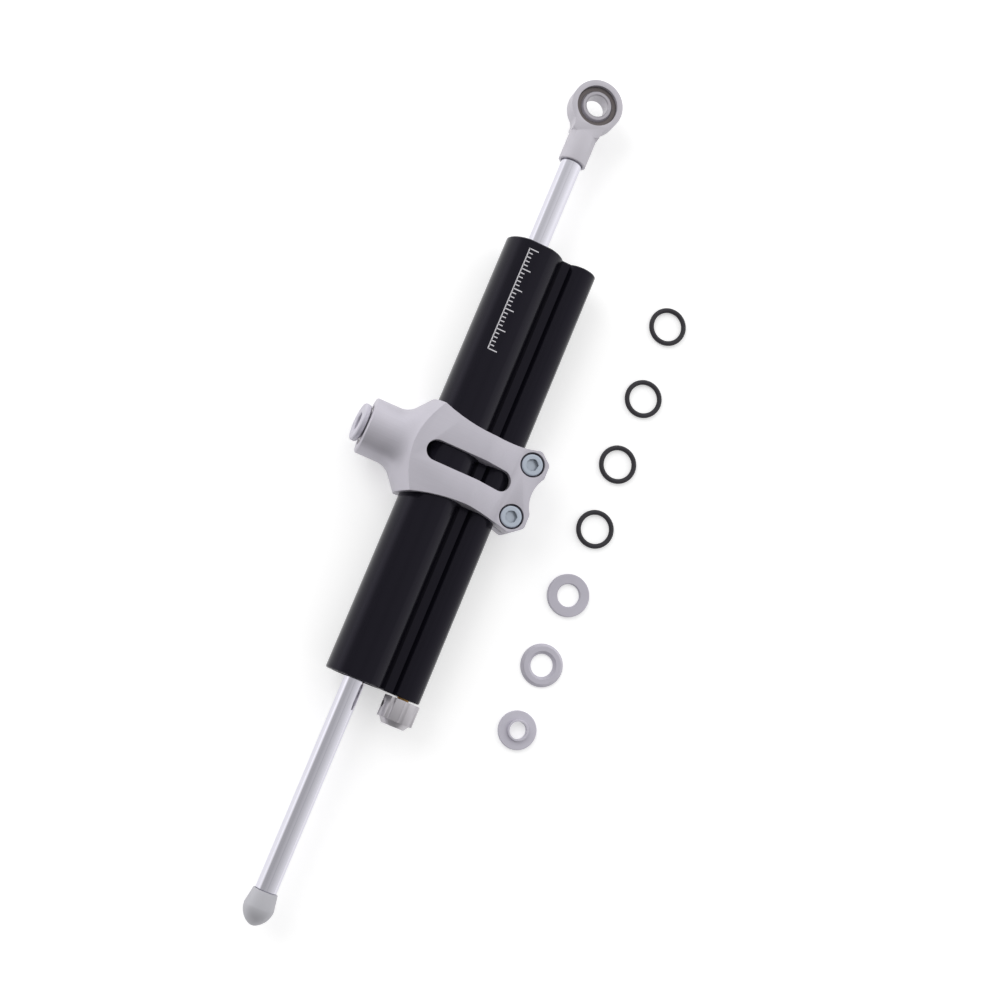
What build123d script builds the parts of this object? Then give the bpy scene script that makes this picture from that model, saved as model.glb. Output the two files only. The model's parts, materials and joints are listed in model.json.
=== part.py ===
from build123d import *
import math
import os

# A motorcycle steering damper with a through rod, a clamp, and its loose fitting kit.
# X runs along the rod towards the eye, Y towards the clamp's boss, Z up.
# The origin is the centre of the eye's bore. Lengths are millimetres, angles are degrees.

# Clearances
running_clearance = 0.05
seat_clearance = 0.03
face_clearance = 0.1
overrun = 1.0

# Rod, piston and travel
rod_radius = 5.0
stroke = 120.0
stroke_buffer = 2.0
piston_length = 18.0
head_depth = 34.7
upper_rod_shown = 45.25
lower_rod_shown = 98.0
rod_chamfer = 0.4
upper_stud_radius = 4.0
upper_stud_length = 14.0
lower_stud_radius = 3.0
lower_stud_length = 9.0
stud_spare_depth = 0.5

# Body, a two-lobed extrusion with a main bore and a bypass bore
main_lobe_radius = 14.0
main_bore_radius = 11.0
main_flat_height = 13.0
small_lobe_radius = 7.4
lobe_spacing = 23.3
bypass_radius = 4.0
web_half_height = 4.2
body_end_chamfer = 0.5
port_radius = 1.75
port_depth = 37.0

# Seal heads at both ends of the body
clip_depth = 1.6
clip_groove_width = 1.1
clip_thickness = 1.0
clip_groove_radius = 11.6
clip_outer_radius = 11.5
clip_inner_radius = 9.3
clip_lug_radius = 1.4
clip_lug_place = 9.1
clip_hole_radius = 0.6
clip_gap_angle = 36.0
head_rod_gap = 0.3
wiper_pocket_radius = 8.0
wiper_pocket_length = 4.5
wiper_lip_radius = 5.9
wiper_lip_length = 1.6
seal_pocket_radius = 7.5
seal_pocket_length = 5.0
bush_wall = 0.92
bush_length = 15.0
head_groove_depth = 24.0
head_groove_width = 2.2
head_groove_radius = 9.4
head_ring_section = 0.75

# Piston
piston_side_gap = 0.3
piston_chamfer = 0.6
band_width = 6.0
band_thickness = 1.45
band_groove_radius = 7.6
energiser_section = 0.85
piston_clip_thickness = 1.0
piston_clip_radius = 6.8
piston_clip_groove_radius = 4.3
piston_clip_gap_angle = 60.0

# Spherical bearings of the eye and the boss
ball_radius = 8.0
ball_width = 9.0
ball_bore_radius = 5.0
ball_bore_chamfer = 0.4
race_radius = 9.5
race_width = 6.0
race_chamfer = 0.3

# Eye housing
eye_radius = 12.1
eye_thickness = 10.0
eye_edge_chamfer = 0.4
shank_radius = 6.55
shank_end = 29.0
shank_flat_end = 14.9
neck_fillet = 5.0
neck_taper_start = 9.5
rod_pocket_depth = 2.0
shank_mouth_chamfer = 0.3

# End cap
cap_length = 15.2
cap_rim_radius = 5.65
cap_rim_chamfer = 0.15
cap_widest_radius = 6.85
cap_widest_place = 7.0
cap_dome_middle_radius = 4.5
cap_dome_middle_place = 12.88
cap_end_radius = 1.2

# Clamp
clamp_offset = 0.55
clamp_half_height = 16.2
clamp_corner_half_width = 20.85
clamp_corner_y = 11.6
clamp_waist_half_width = 16.7
clamp_waist_y = -12.5
ear_half_width = 20.0
ear_side_y = -37.0
ear_end_y = -42.6
ear_end_half_width = 15.4
ear_end_corner = 8.7
ear_notch_y = -39.9
ear_fillet = 2.5
ear_half_height = 10.0
crease_y = -14.0
ear_flat_y = -28.0
flare_half_width = 22.7
flare_y = 16.76
flare_fillet = 9.1
flare_angle = 50.9
flare_lag = 3.4
flare_back_y = 11.5
flare_steps = 12
boss_radius = 13.2
boss_end_y = 39.7
boss_edge_chamfer = 0.6
slot_width = 9.6
slot_start_y = 12.5
slot_end_y = -29.3
split_width = 1.5
screw_spacing = 25.3
screw_y = -35.24
screw_radius = 3.0
screw_hole_radius = 3.3
screw_head_radius = 5.0
screw_head_height = 6.0
screw_head_chamfer = 0.5
screw_socket_width = 5.0
screw_socket_depth = 3.0
screw_length = 12.0
counterbore_radius = 5.7
counterbore_depth = 6.3

# Boss bearing and its stepped collar
bolt_pocket_radius = 8.0
boss_collar_gap = 1.25
boss_swivel = 6.5
collar_flange_radius = 8.9
collar_flange_thickness = 2.8
collar_bore_radius = 4.05
collar_spigot_length = 8.6
collar_edge_chamfer = 0.5

# Damping adjuster in the lower end of the small lobe
knob_gap = 0.85
knob_radius = 8.25
knob_grip_length = 9.7
knob_nose_length = 2.4
knob_nose_radius = 7.0
knob_tip_radius = 5.5
knob_edge_chamfer = 0.5
flute_count = 8
flute_radius = 1.6
flute_depth = 0.6
flute_angle = 81.3
knob_bore_depth = 8.9
grub_place = 4.3
grub_radius = 1.6
grub_recess = 1.0
grub_socket_width = 1.5
grub_socket_depth = 1.4
detent_ball_radius = 1.5
detent_place = 5.6
detent_pocket_depth = 6.0
detent_spring_wall = 0.4
dimple_count = 12
dimple_radius = 0.65
dimple_depth = 0.3
cartridge_recess = 0.5
cartridge_neck_end = 10.0
cartridge_end = 30.0
cartridge_bore_radius = 3.35
cartridge_groove_start = 6.5
cartridge_groove_width = 1.0
cartridge_groove_depth = 0.7
cartridge_ring_section = 0.33
spindle_radius = 2.75
spindle_groove_start = 4.0
spindle_groove_width = 1.3
spindle_groove_depth = 0.9
spindle_ring_section = 0.42
spindle_collar_length = 3.6
spindle_stud_radius = 1.25
spindle_stud_length = 11.0
guide_start = 14.0
guide_square = 4.2
needle_start = 17.0
needle_shank_end = 29.0
needle_thread_depth = 10.0
needle_neck_radius = 1.9
needle_neck_end = 37.0
needle_tip_radius = 0.5
needle_end = 44.5
seat_start = 42.0
seat_length = 5.0
seat_orifice_radius = 1.4
seat_mouth_chamfer = 0.5

# Compensator and plug in the upper end of the small lobe
plug_recess = 0.5
plug_length = 6.5
plug_socket_width = 4.0
plug_socket_depth = 3.5
plug_ring_section = 0.9
foam_gap = 0.3
foam_start = 9.6
foam_end = 33.0

# Loose fitting kit on the floor beside the damper
kit_row_start_x = -75.6
kit_row_length = 202.8
kit_row_y = -74.6
kit_row_drift = 5.3
kit_along_shares = (0.0, 0.182, 0.349, 0.509, 0.674, 0.844, 1.0)
kit_across_shares = (0.0, 0.40, 0.47, 0.75, 0.74, 0.89, 1.0)
spare_ring_count = 4
spare_ring_radius = 7.92
spare_ring_section = 1.15
washer_radius = 10.0
washer_bore_radius = 5.3
washer_thickness = 2.0
washer_chamfer = 0.35
bevelled_washer_thickness = 2.4
bevelled_washer_rim = 0.9
bevelled_washer_flat_share = 0.45
loose_collar_radius = 9.0
loose_collar_thickness = 2.0
loose_spigot_height = 1.7
loose_collar_chamfer = 0.3

# Places that follow from the sizes above
chamber_length = stroke + piston_length + 2 * stroke_buffer
body_length = chamber_length + 2 * head_depth
sleeve_x = -shank_end
upper_face_x = sleeve_x - upper_rod_shown
lower_face_x = upper_face_x - body_length
cap_x = lower_face_x - lower_rod_shown
piston_x = (sleeve_x + cap_x) / 2
clamp_x = (upper_face_x + lower_face_x) / 2 - clamp_offset
small_lobe_y = -lobe_spacing
head_start = clip_depth + clip_groove_width
flare_slope = math.tan(math.radians(flare_angle))
flare_cone_radius = boss_radius + flare_fillet * (1 - math.cos(math.radians(flare_angle)))
flare_cone_y = flare_y + (flare_half_width - flare_cone_radius) / flare_slope
flare_start_y = flare_cone_y + flare_fillet * math.sin(math.radians(flare_angle))
boss_ball_y = boss_end_y + boss_collar_gap - ball_width / 2
floor_z = -clamp_half_height
knob_start = knob_gap
knob_end = knob_gap + knob_grip_length + knob_nose_length


# Plain shapes

def bar_x(radius, start, end, y=0, z=0):
    """A round bar along X between two places."""
    bar = Cylinder(radius, abs(end - start), align=(Align.CENTER, Align.CENTER, Align.MIN))
    return Pos(min(start, end), y, z) * Rot(0, 90, 0) * bar


def ring_x(outer, inner, start, end, y=0, z=0):
    """A round sleeve along X between two places."""
    hole = bar_x(inner, min(start, end) - overrun, max(start, end) + overrun, y, z)
    return bar_x(outer, start, end, y, z) - hole


def bar_y(radius, start, end):
    """A round bar along Y between two places."""
    bar = Cylinder(radius, end - start, align=(Align.CENTER, Align.CENTER, Align.MIN))
    return Pos(0, start, 0) * Rot(-90, 0, 0) * bar


def bar_z(radius, low, high, x=0, y=0):
    """A round bar along Z between two heights."""
    bar = Cylinder(radius, high - low, align=(Align.CENTER, Align.CENTER, Align.MIN))
    return Pos(x, y, low) * bar


def turned_x(points):
    """A solid turned about X from points of (x, radius)."""
    profile = make_face(Polyline(*points, close=True))
    return revolve(profile, Axis.X)


def o_ring_x(seat_radius, section, x, y=0):
    """A rubber ring about X whose inside is at seat_radius."""
    ring = Torus(seat_radius + section, section)
    return Pos(x, y, 0) * Rot(0, 90, 0) * ring


def hexagon_x(width, start, end, y=0):
    """A six-sided bar along X, its width across flats."""
    outline = Plane.YZ.offset(min(start, end)) * Pos(y, 0) * RegularPolygon(width / 2, 6, major_radius=False)
    return extrude(outline, amount=abs(end - start))


def polar(radius, angle):
    """Y and Z of a point at an angle from +Z towards +Y."""
    return radius * math.sin(math.radians(angle)), radius * math.cos(math.radians(angle))


def inward(face, depth):
    """X of a depth inside the body, measured from one of its end faces."""
    towards_middle = 1 if face == lower_face_x else -1
    return face + towards_middle * depth


# Body

def body_outline(grow=0):
    """The two-lobed outline, its sketch axes along Y and Z."""
    main = Circle(main_lobe_radius + grow) & Rectangle(
        2 * (main_lobe_radius + grow), 2 * (main_flat_height + grow))
    web = Rectangle(lobe_spacing, 2 * (web_half_height + grow), align=(Align.MAX, Align.CENTER))
    return main + web + Pos(small_lobe_y, 0) * Circle(small_lobe_radius + grow)


def damper_body():
    """The extrusion with its bores, ports, clip grooves and detent dimples."""
    body = extrude(Plane.YZ.offset(lower_face_x) * body_outline(), amount=body_length)
    ends = body.faces().filter_by(Axis.X).sort_by(Axis.X)
    body = chamfer(ends[0].outer_wire().edges() + ends[-1].outer_wire().edges(), body_end_chamfer)
    body -= bar_x(main_bore_radius, lower_face_x - overrun, upper_face_x + overrun)
    body -= bar_x(bypass_radius, lower_face_x - overrun, upper_face_x + overrun, small_lobe_y)
    for face in (lower_face_x, upper_face_x):
        body -= bar_x(clip_groove_radius, inward(face, clip_depth), inward(face, head_start))
        port = Cylinder(port_radius, lobe_spacing, align=(Align.CENTER, Align.CENTER, Align.MIN))
        body -= Pos(inward(face, port_depth), 0, 0) * Rot(90, 0, 0) * port
    for step in range(dimple_count):
        y, z = polar(detent_place, flute_angle + 360 * (step + 0.5) / dimple_count)
        body -= bar_x(dimple_radius, lower_face_x - overrun, lower_face_x + dimple_depth, small_lobe_y + y, z)
    return body


# Seal heads

def seal_head(face):
    """A head that carries the bush, the seal and the wiper of one body end."""
    head = bar_x(main_bore_radius - seat_clearance, inward(face, head_start), inward(face, head_depth))
    head -= bar_x(rod_radius + head_rod_gap, inward(face, 0), inward(face, head_depth + overrun))
    wiper_end = head_start + wiper_pocket_length
    head -= bar_x(wiper_pocket_radius, inward(face, 0), inward(face, wiper_end))
    head -= bar_x(seal_pocket_radius, inward(face, 0), inward(face, wiper_end + seal_pocket_length))
    bush_start = head_depth - bush_length - face_clearance
    bush_radius = rod_radius + running_clearance + bush_wall + seat_clearance
    head -= bar_x(bush_radius, inward(face, bush_start), inward(face, head_depth + overrun))
    head -= ring_x(main_bore_radius, head_groove_radius, inward(face, head_groove_depth),
                   inward(face, head_groove_depth + head_groove_width))
    return head


def rod_bush(face):
    """The plain bush that guides the rod."""
    inner = rod_radius + running_clearance
    return ring_x(inner + bush_wall, inner, inward(face, head_depth - bush_length), inward(face, head_depth))


def rod_seal(face):
    """The pressure seal round the rod."""
    start = head_start + wiper_pocket_length + face_clearance
    end = start + seal_pocket_length - 2 * face_clearance
    inner = rod_radius + running_clearance
    return ring_x(seal_pocket_radius - seat_clearance, inner, inward(face, start), inward(face, end))


def rod_wiper(face):
    """The wiper, with a lip that stands out along the rod."""
    start = head_start
    inner = rod_radius + running_clearance
    ring = ring_x(wiper_pocket_radius - seat_clearance, inner, inward(face, start),
                  inward(face, start + wiper_pocket_length))
    lip = ring_x(wiper_lip_radius, inner, inward(face, start - wiper_lip_length), inward(face, start))
    return ring + lip


def head_o_ring(face):
    """The rubber ring between a head and the main bore."""
    middle = head_groove_depth + head_groove_width / 2
    return o_ring_x(head_groove_radius + seat_clearance, head_ring_section, inward(face, middle))


def head_circlip(face):
    """The spring ring with two eyed lugs that holds a head in."""
    start = clip_depth + (clip_groove_width - clip_thickness) / 2
    outline = Circle(clip_outer_radius) - Circle(clip_inner_radius)
    half_gap = clip_gap_angle / 2
    far = 2 * clip_outer_radius
    left = (-far * math.sin(math.radians(half_gap)), -far * math.cos(math.radians(half_gap)))
    right = (-left[0], left[1])
    outline -= make_face(Polyline((0, 0), left, right, close=True))
    for side in (-1, 1):
        y = side * clip_lug_place * math.sin(math.radians(half_gap))
        z = -clip_lug_place * math.cos(math.radians(half_gap))
        outline += Pos(y, z) * (Circle(clip_lug_radius) - Circle(clip_hole_radius))
    low = min(inward(face, start), inward(face, start + clip_thickness))
    return extrude(Plane.YZ.offset(low) * outline, amount=clip_thickness)


# Rod and piston

def piston_rod():
    """The through rod with a threaded stud at each end and two clip grooves."""
    top = sleeve_x + rod_pocket_depth
    rod = turned_x([
        (cap_x - lower_stud_length, 0),
        (cap_x - lower_stud_length, lower_stud_radius - rod_chamfer),
        (cap_x - lower_stud_length + rod_chamfer, lower_stud_radius),
        (cap_x, lower_stud_radius),
        (cap_x, rod_radius - rod_chamfer),
        (cap_x + rod_chamfer, rod_radius),
        (top - rod_chamfer, rod_radius),
        (top, rod_radius - rod_chamfer),
        (top, upper_stud_radius),
        (top + upper_stud_length - rod_chamfer, upper_stud_radius),
        (top + upper_stud_length, upper_stud_radius - rod_chamfer),
        (top + upper_stud_length, 0),
    ])
    for side in (-1, 1):
        start = piston_x + side * piston_length / 2
        end = start + side * piston_clip_thickness
        rod -= ring_x(rod_radius + overrun, piston_clip_groove_radius, start, end)
    return rod


def piston():
    """The piston body with its band groove and chamfered rims."""
    half = piston_length / 2
    radius = main_bore_radius - piston_side_gap
    body = turned_x([
        (piston_x - half, 0),
        (piston_x - half, radius - piston_chamfer),
        (piston_x - half + piston_chamfer, radius),
        (piston_x + half - piston_chamfer, radius),
        (piston_x + half, radius - piston_chamfer),
        (piston_x + half, 0),
    ])
    body -= bar_x(rod_radius + seat_clearance, piston_x - half - overrun, piston_x + half + overrun)
    return body - ring_x(main_bore_radius, band_groove_radius,
                         piston_x - band_width / 2, piston_x + band_width / 2)


def piston_band():
    """The slippery band that seals the piston against the main bore."""
    outer = main_bore_radius - running_clearance
    half = band_width / 2 - running_clearance
    return ring_x(outer, outer - band_thickness, piston_x - half, piston_x + half)


def piston_energiser():
    """The rubber ring under the band."""
    return o_ring_x(band_groove_radius + seat_clearance, energiser_section, piston_x)


def piston_clip(side):
    """An open spring clip that holds one end of the piston on the rod."""
    start = piston_x + side * (piston_length / 2 + seat_clearance)
    end = piston_x + side * (piston_length / 2 + piston_clip_thickness - seat_clearance)
    clip = ring_x(piston_clip_radius, piston_clip_groove_radius + seat_clearance, start, end)
    reach = 2 * piston_clip_radius
    spread = reach * math.tan(math.radians(piston_clip_gap_angle / 2))
    opening = make_face(Polyline((0, 0), (-spread, -reach), (spread, -reach), close=True))
    low = min(start, end) - overrun
    return clip - extrude(Plane.YZ.offset(low) * opening, amount=abs(end - start) + 2 * overrun)


# Spherical bearings, made about the origin with the bore along Z

def bearing_race():
    """The outer ring with its hollow sphere."""
    race = Cylinder(race_radius, race_width)
    race = chamfer(race.edges().filter_by(GeomType.CIRCLE), race_chamfer)
    return race - Sphere(ball_radius + running_clearance)


def bearing_ball():
    """The ball with flat faces and a chamfered bore."""
    half = ball_width / 2
    ball = Sphere(ball_radius) & Cylinder(ball_radius, ball_width)
    ball -= Cylinder(ball_bore_radius, ball_width + 2 * overrun)
    wide = ball_bore_radius + ball_bore_chamfer
    for side in (-1, 1):
        mouth = Cone(ball_bore_radius, wide, ball_bore_chamfer, align=(Align.CENTER, Align.CENTER, Align.MAX))
        turn = 0 if side == 1 else 180
        ball -= Rot(turn, 0, 0) * Pos(0, 0, half) * mouth
    return ball


# Rod end

def eye_housing():
    """The eye with flat faces, a filleted neck and a round threaded shank."""
    half = eye_thickness / 2
    outline = Circle(eye_radius) + Pos(-shank_flat_end, 0) * Rectangle(
        shank_flat_end, 2 * shank_radius, align=(Align.MIN, Align.CENTER))
    corner_x = -math.sqrt(eye_radius ** 2 - shank_radius ** 2)
    corners = outline.vertices().sort_by_distance((corner_x, 0, 0))[0:2]
    outline = fillet(corners, neck_fillet)
    housing = extrude(outline, amount=half, both=True)
    housing &= turned_x([
        (-shank_flat_end, 0),
        (-shank_flat_end, shank_radius),
        (-neck_taper_start, eye_radius + eye_thickness / 2),
        (eye_radius + overrun, eye_radius + eye_thickness / 2),
        (eye_radius + overrun, 0),
    ])
    rims = housing.edges().filter_by(GeomType.CIRCLE)
    arc = rims.filter_by(lambda e: abs(e.radius - eye_radius) < seat_clearance)
    housing = chamfer(arc, eye_edge_chamfer)
    housing += turned_x([
        (-shank_end, 0),
        (-shank_end, shank_radius - shank_mouth_chamfer),
        (-shank_end + shank_mouth_chamfer, shank_radius),
        (-shank_flat_end, shank_radius),
        (-shank_flat_end, 0),
    ])
    housing -= Cylinder(race_radius + seat_clearance, eye_thickness + 2 * overrun)
    housing -= bar_x(rod_radius + seat_clearance, sleeve_x - overrun, sleeve_x + rod_pocket_depth)
    thread_end = sleeve_x + rod_pocket_depth + upper_stud_length + stud_spare_depth
    return housing - bar_x(upper_stud_radius + seat_clearance, sleeve_x, thread_end)


# End cap

def end_cap():
    """The domed cap screwed on the rod's lower stud."""
    end_x = cap_x - cap_length
    half = Line((cap_x, 0), (cap_x, cap_rim_radius - cap_rim_chamfer))
    half += Line(half @ 1, (cap_x - cap_rim_chamfer, cap_rim_radius))
    half += Line((cap_x - cap_rim_chamfer, cap_rim_radius), (cap_x - cap_widest_place, cap_widest_radius))
    half += ThreePointArc((cap_x - cap_widest_place, cap_widest_radius),
                          (cap_x - cap_dome_middle_place, cap_dome_middle_radius), (end_x, cap_end_radius))
    half += Line((end_x, cap_end_radius), (end_x, 0))
    half += Line((end_x, 0), (cap_x, 0))
    cap = revolve(make_face(half), Axis.X)
    depth = lower_stud_length + stud_spare_depth
    return cap - bar_x(lower_stud_radius + seat_clearance, cap_x - depth, cap_x + overrun)


# Clamp

def clamp_plan():
    """The clamp's outline seen from above, waisted between the boss and the ears."""
    half = Line((0, boss_end_y), (flare_half_width, boss_end_y))
    half += Line((flare_half_width, boss_end_y), (flare_half_width, flare_y))
    half += Line((flare_half_width, flare_y), (clamp_corner_half_width, clamp_corner_y))
    half += ThreePointArc((clamp_corner_half_width, clamp_corner_y), (clamp_waist_half_width, clamp_waist_y),
                          (ear_half_width, ear_side_y))
    half += Line((ear_half_width, ear_side_y), (ear_end_half_width, ear_end_y))
    half += Line((ear_end_half_width, ear_end_y), (ear_end_corner, ear_end_y))
    notch_radius = (ear_end_corner ** 2 + (ear_notch_y - ear_end_y) ** 2) / (2 * (ear_notch_y - ear_end_y))
    middle_x = ear_end_corner / 2
    middle_y = ear_notch_y - notch_radius + math.sqrt(notch_radius ** 2 - middle_x ** 2)
    half += ThreePointArc((ear_end_corner, ear_end_y), (middle_x, middle_y), (0, ear_notch_y))
    half += Line((0, ear_notch_y), (0, boss_end_y))
    side = make_face(half)
    plan = side + mirror(side, Plane.YZ)
    corners = plan.vertices().filter_by(lambda v: ear_end_y - overrun < v.Y < ear_side_y + overrun)
    return fillet(corners.filter_by(lambda v: abs(v.X) > ear_end_corner - overrun), ear_fillet)


def flare_radius(y):
    """The flare's half width at a place along Y: the boss, a hollow fillet, then a cone."""
    if y >= flare_start_y:
        return boss_radius
    if y >= flare_cone_y:
        return boss_radius + flare_fillet - math.sqrt(flare_fillet ** 2 - (flare_start_y - y) ** 2)
    return flare_cone_radius + (flare_cone_y - y) * flare_slope


def flare_solid():
    """The boss and its flare, whose oval sections gain height later than width."""
    sections = []
    for step in range(flare_steps + 1):
        y = flare_start_y + (flare_back_y - flare_start_y) * step / flare_steps
        oval = Ellipse(flare_radius(y), flare_radius(y + flare_lag))
        sections.append(Plane.XZ.offset(-y) * oval)
    boss = bar_y(boss_radius, flare_start_y, boss_end_y)
    boss = chamfer(boss.edges().filter_by(GeomType.CIRCLE).sort_by(Axis.Y)[-1], boss_edge_chamfer)
    return loft(sections) + boss


def clamp_blank():
    """The outer shape: the plan, the stepped ears and the turned boss with its flare."""
    plate = extrude(clamp_plan(), amount=clamp_half_height, both=True)
    profile = Polyline(
        (boss_end_y, clamp_half_height),
        (crease_y, clamp_half_height),
        (ear_flat_y, ear_half_height),
        (ear_end_y - overrun, ear_half_height),
        (ear_end_y - overrun, -ear_half_height),
        (ear_flat_y, -ear_half_height),
        (crease_y, -clamp_half_height),
        (boss_end_y, -clamp_half_height),
        close=True)
    plate &= extrude(Plane.YZ * make_face(profile), amount=2 * flare_half_width, both=True)
    far = 2 * (flare_half_width - ear_end_y)
    back = Pos(0, flare_back_y, 0) * Box(far, far, far, align=(Align.CENTER, Align.MAX, Align.CENTER))
    return plate & (flare_solid() + back)


def clamp():
    """The one-piece clamp with its window, split, screw holes and bearing seat."""
    body = clamp_blank()
    length = 2 * (flare_half_width + overrun)
    body -= extrude(Plane.YZ.offset(-length / 2) * body_outline(running_clearance), amount=length)
    slot = SlotOverall(slot_start_y - slot_end_y, slot_width, rotation=90)
    slot = Pos(0, (slot_start_y + slot_end_y) / 2) * slot
    body -= extrude(slot, amount=clamp_half_height + overrun, both=True)
    split = Box(length, small_lobe_y - ear_end_y + overrun, split_width,
                align=(Align.CENTER, Align.MAX, Align.CENTER))
    body -= Pos(0, small_lobe_y, 0) * split
    for side in (-1, 1):
        x = side * screw_spacing / 2
        body -= bar_z(screw_hole_radius, 0, ear_half_height + overrun, x, screw_y)
        body -= bar_z(counterbore_radius, ear_half_height - counterbore_depth,
                      ear_half_height + overrun, x, screw_y)
        body -= bar_z(screw_radius + seat_clearance, -ear_half_height - overrun, 0, x, screw_y)
    seat_y = boss_ball_y - race_width / 2
    body -= bar_y(race_radius + seat_clearance, seat_y, boss_end_y + overrun)
    body -= bar_y(bolt_pocket_radius, 0, seat_y + overrun)
    return Pos(clamp_x, 0, 0) * body


def clamp_screws():
    """The two socket-head screws sunk in the ears."""
    seat_z = ear_half_height - counterbore_depth
    top_z = seat_z + screw_head_height
    screws = []
    for side in (-1, 1):
        x = side * screw_spacing / 2
        head = bar_z(screw_head_radius, seat_z, top_z, x, screw_y)
        head = chamfer(head.edges().filter_by(GeomType.CIRCLE).sort_by(Axis.Z)[-1], screw_head_chamfer)
        shank = bar_z(screw_radius, seat_z - screw_length, seat_z, x, screw_y)
        socket = extrude(Pos(x, screw_y, top_z - screw_socket_depth)
                         * RegularPolygon(screw_socket_width / 2, 6, major_radius=False, rotation=30),
                         amount=screw_socket_depth + overrun)
        screws.append(head + shank - socket)
    return Pos(clamp_x, 0, 0) * Compound(children=screws)


def in_boss(piece, tilt=0):
    """Puts a piece made about Z in the boss, its axis along Y and leaning up by tilt."""
    return Pos(clamp_x, boss_ball_y, 0) * Rot(tilt, 0, 0) * Rot(-90, 0, 0) * piece


def boss_race():
    """The bearing ring pressed into the boss."""
    return in_boss(bearing_race())


def boss_ball():
    """The ball that swivels in the boss."""
    return in_boss(bearing_ball(), boss_swivel)


def boss_collar():
    """The flanged collar in the ball's bore, which takes the mounting bolt."""
    face = ball_width / 2
    flange = bar_z(collar_flange_radius, face, face + collar_flange_thickness)
    flange = chamfer(flange.edges().filter_by(GeomType.CIRCLE), collar_edge_chamfer)
    spigot = bar_z(ball_bore_radius - seat_clearance, face - collar_spigot_length, face)
    collar = flange + spigot
    collar -= bar_z(collar_bore_radius, face - collar_spigot_length - overrun,
                    face + collar_flange_thickness + overrun)
    return in_boss(collar, boss_swivel)


# Damping adjuster, with depths measured inwards from the lower end face

def depth_x(depth):
    """X of a depth inside the lower end of the small lobe."""
    return inward(lower_face_x, depth)


def adjuster_knob():
    """The fluted knob with a smaller coned nose."""
    near = depth_x(-knob_start)
    shoulder = depth_x(-knob_start - knob_grip_length)
    far = depth_x(-knob_end)
    grip = bar_x(knob_radius, shoulder, near)
    grip = chamfer(grip.edges().filter_by(GeomType.CIRCLE), knob_edge_chamfer)
    for step in range(flute_count):
        y, z = polar(knob_radius + flute_radius - flute_depth, flute_angle + 360 * step / flute_count)
        grip -= bar_x(flute_radius, shoulder - overrun, near + overrun, y, z)
    nose = turned_x([
        (far, 0),
        (far, knob_tip_radius),
        (shoulder, knob_nose_radius),
        (near, knob_nose_radius),
        (near, 0),
    ])
    knob = grip + nose
    knob -= bar_x(spindle_radius + seat_clearance, near - knob_bore_depth, near + overrun)
    y, z = polar(detent_place, detent_angle())
    knob -= bar_x(detent_ball_radius + running_clearance, near - detent_pocket_depth, near + overrun, y, z)
    hole = bar_z(grub_radius + seat_clearance, 0, knob_radius + overrun)
    knob -= Pos(grub_x(), 0, 0) * Rot(-flute_angle, 0, 0) * hole
    return Pos(0, small_lobe_y, 0) * knob


def detent_angle():
    """The angle of the detent pocket, under the lobe that faces the floor."""
    return flute_angle + 360 * (flute_count // 4 + 0.5) / flute_count


def grub_x():
    """Where the grub screw is along the knob's grip."""
    return depth_x(-knob_start - grub_place)


def knob_grub_screw():
    """The headless screw that fixes the knob on the spindle."""
    top = knob_radius - flute_depth - grub_recess
    screw = bar_z(grub_radius, spindle_radius, top)
    socket = Pos(0, 0, top - grub_socket_depth) * RegularPolygon(grub_socket_width / 2, 6, major_radius=False)
    screw -= extrude(socket, amount=grub_socket_depth + overrun)
    return Pos(grub_x(), small_lobe_y, 0) * Rot(-flute_angle, 0, 0) * screw


def detent_ball():
    """The ball that clicks over the dimples in the end face."""
    y, z = polar(detent_place, detent_angle())
    x = depth_x(-face_clearance) - detent_ball_radius
    return Pos(x, small_lobe_y + y, z) * Sphere(detent_ball_radius)


def detent_spring():
    """The spring behind the ball, as a plain sleeve in its pocket."""
    y, z = polar(detent_place, detent_angle())
    outer = detent_ball_radius - running_clearance
    start = depth_x(-knob_start - detent_pocket_depth)
    end = depth_x(-face_clearance) - 2 * detent_ball_radius - face_clearance
    return ring_x(outer, outer - detent_spring_wall, start, end, small_lobe_y + y, z)


def adjuster_spindle():
    """The brass spindle with its collar and threaded stud."""
    start = depth_x(-knob_start - knob_bore_depth)
    shoulder = depth_x(cartridge_neck_end + face_clearance)
    collar_end = shoulder + spindle_collar_length
    spindle = bar_x(spindle_radius, start, shoulder, small_lobe_y)
    spindle += bar_x(cartridge_bore_radius - running_clearance, shoulder, collar_end, small_lobe_y)
    spindle += bar_x(spindle_stud_radius, collar_end, collar_end + spindle_stud_length, small_lobe_y)
    groove_end = spindle_groove_start + spindle_groove_width
    return spindle - ring_x(spindle_radius + seat_clearance, spindle_radius - spindle_groove_depth,
                            depth_x(spindle_groove_start), depth_x(groove_end), small_lobe_y)


def spindle_o_ring():
    """The rubber ring between the spindle and its cartridge."""
    middle = spindle_groove_start + spindle_groove_width / 2
    seat = spindle_radius - spindle_groove_depth + seat_clearance
    return o_ring_x(seat, spindle_ring_section, depth_x(middle), small_lobe_y)


def adjuster_cartridge():
    """The sleeve screwed into the small lobe, which carries the spindle and the needle."""
    outer = bypass_radius - seat_clearance
    sleeve = bar_x(outer, depth_x(cartridge_recess), depth_x(cartridge_end), small_lobe_y)
    sleeve -= bar_x(spindle_radius + running_clearance, depth_x(0), depth_x(cartridge_end), small_lobe_y)
    sleeve -= bar_x(cartridge_bore_radius, depth_x(cartridge_neck_end),
                    depth_x(cartridge_end + overrun), small_lobe_y)
    groove_end = cartridge_groove_start + cartridge_groove_width
    return sleeve - ring_x(bypass_radius, outer - cartridge_groove_depth, depth_x(cartridge_groove_start),
                           depth_x(groove_end), small_lobe_y)


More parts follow.
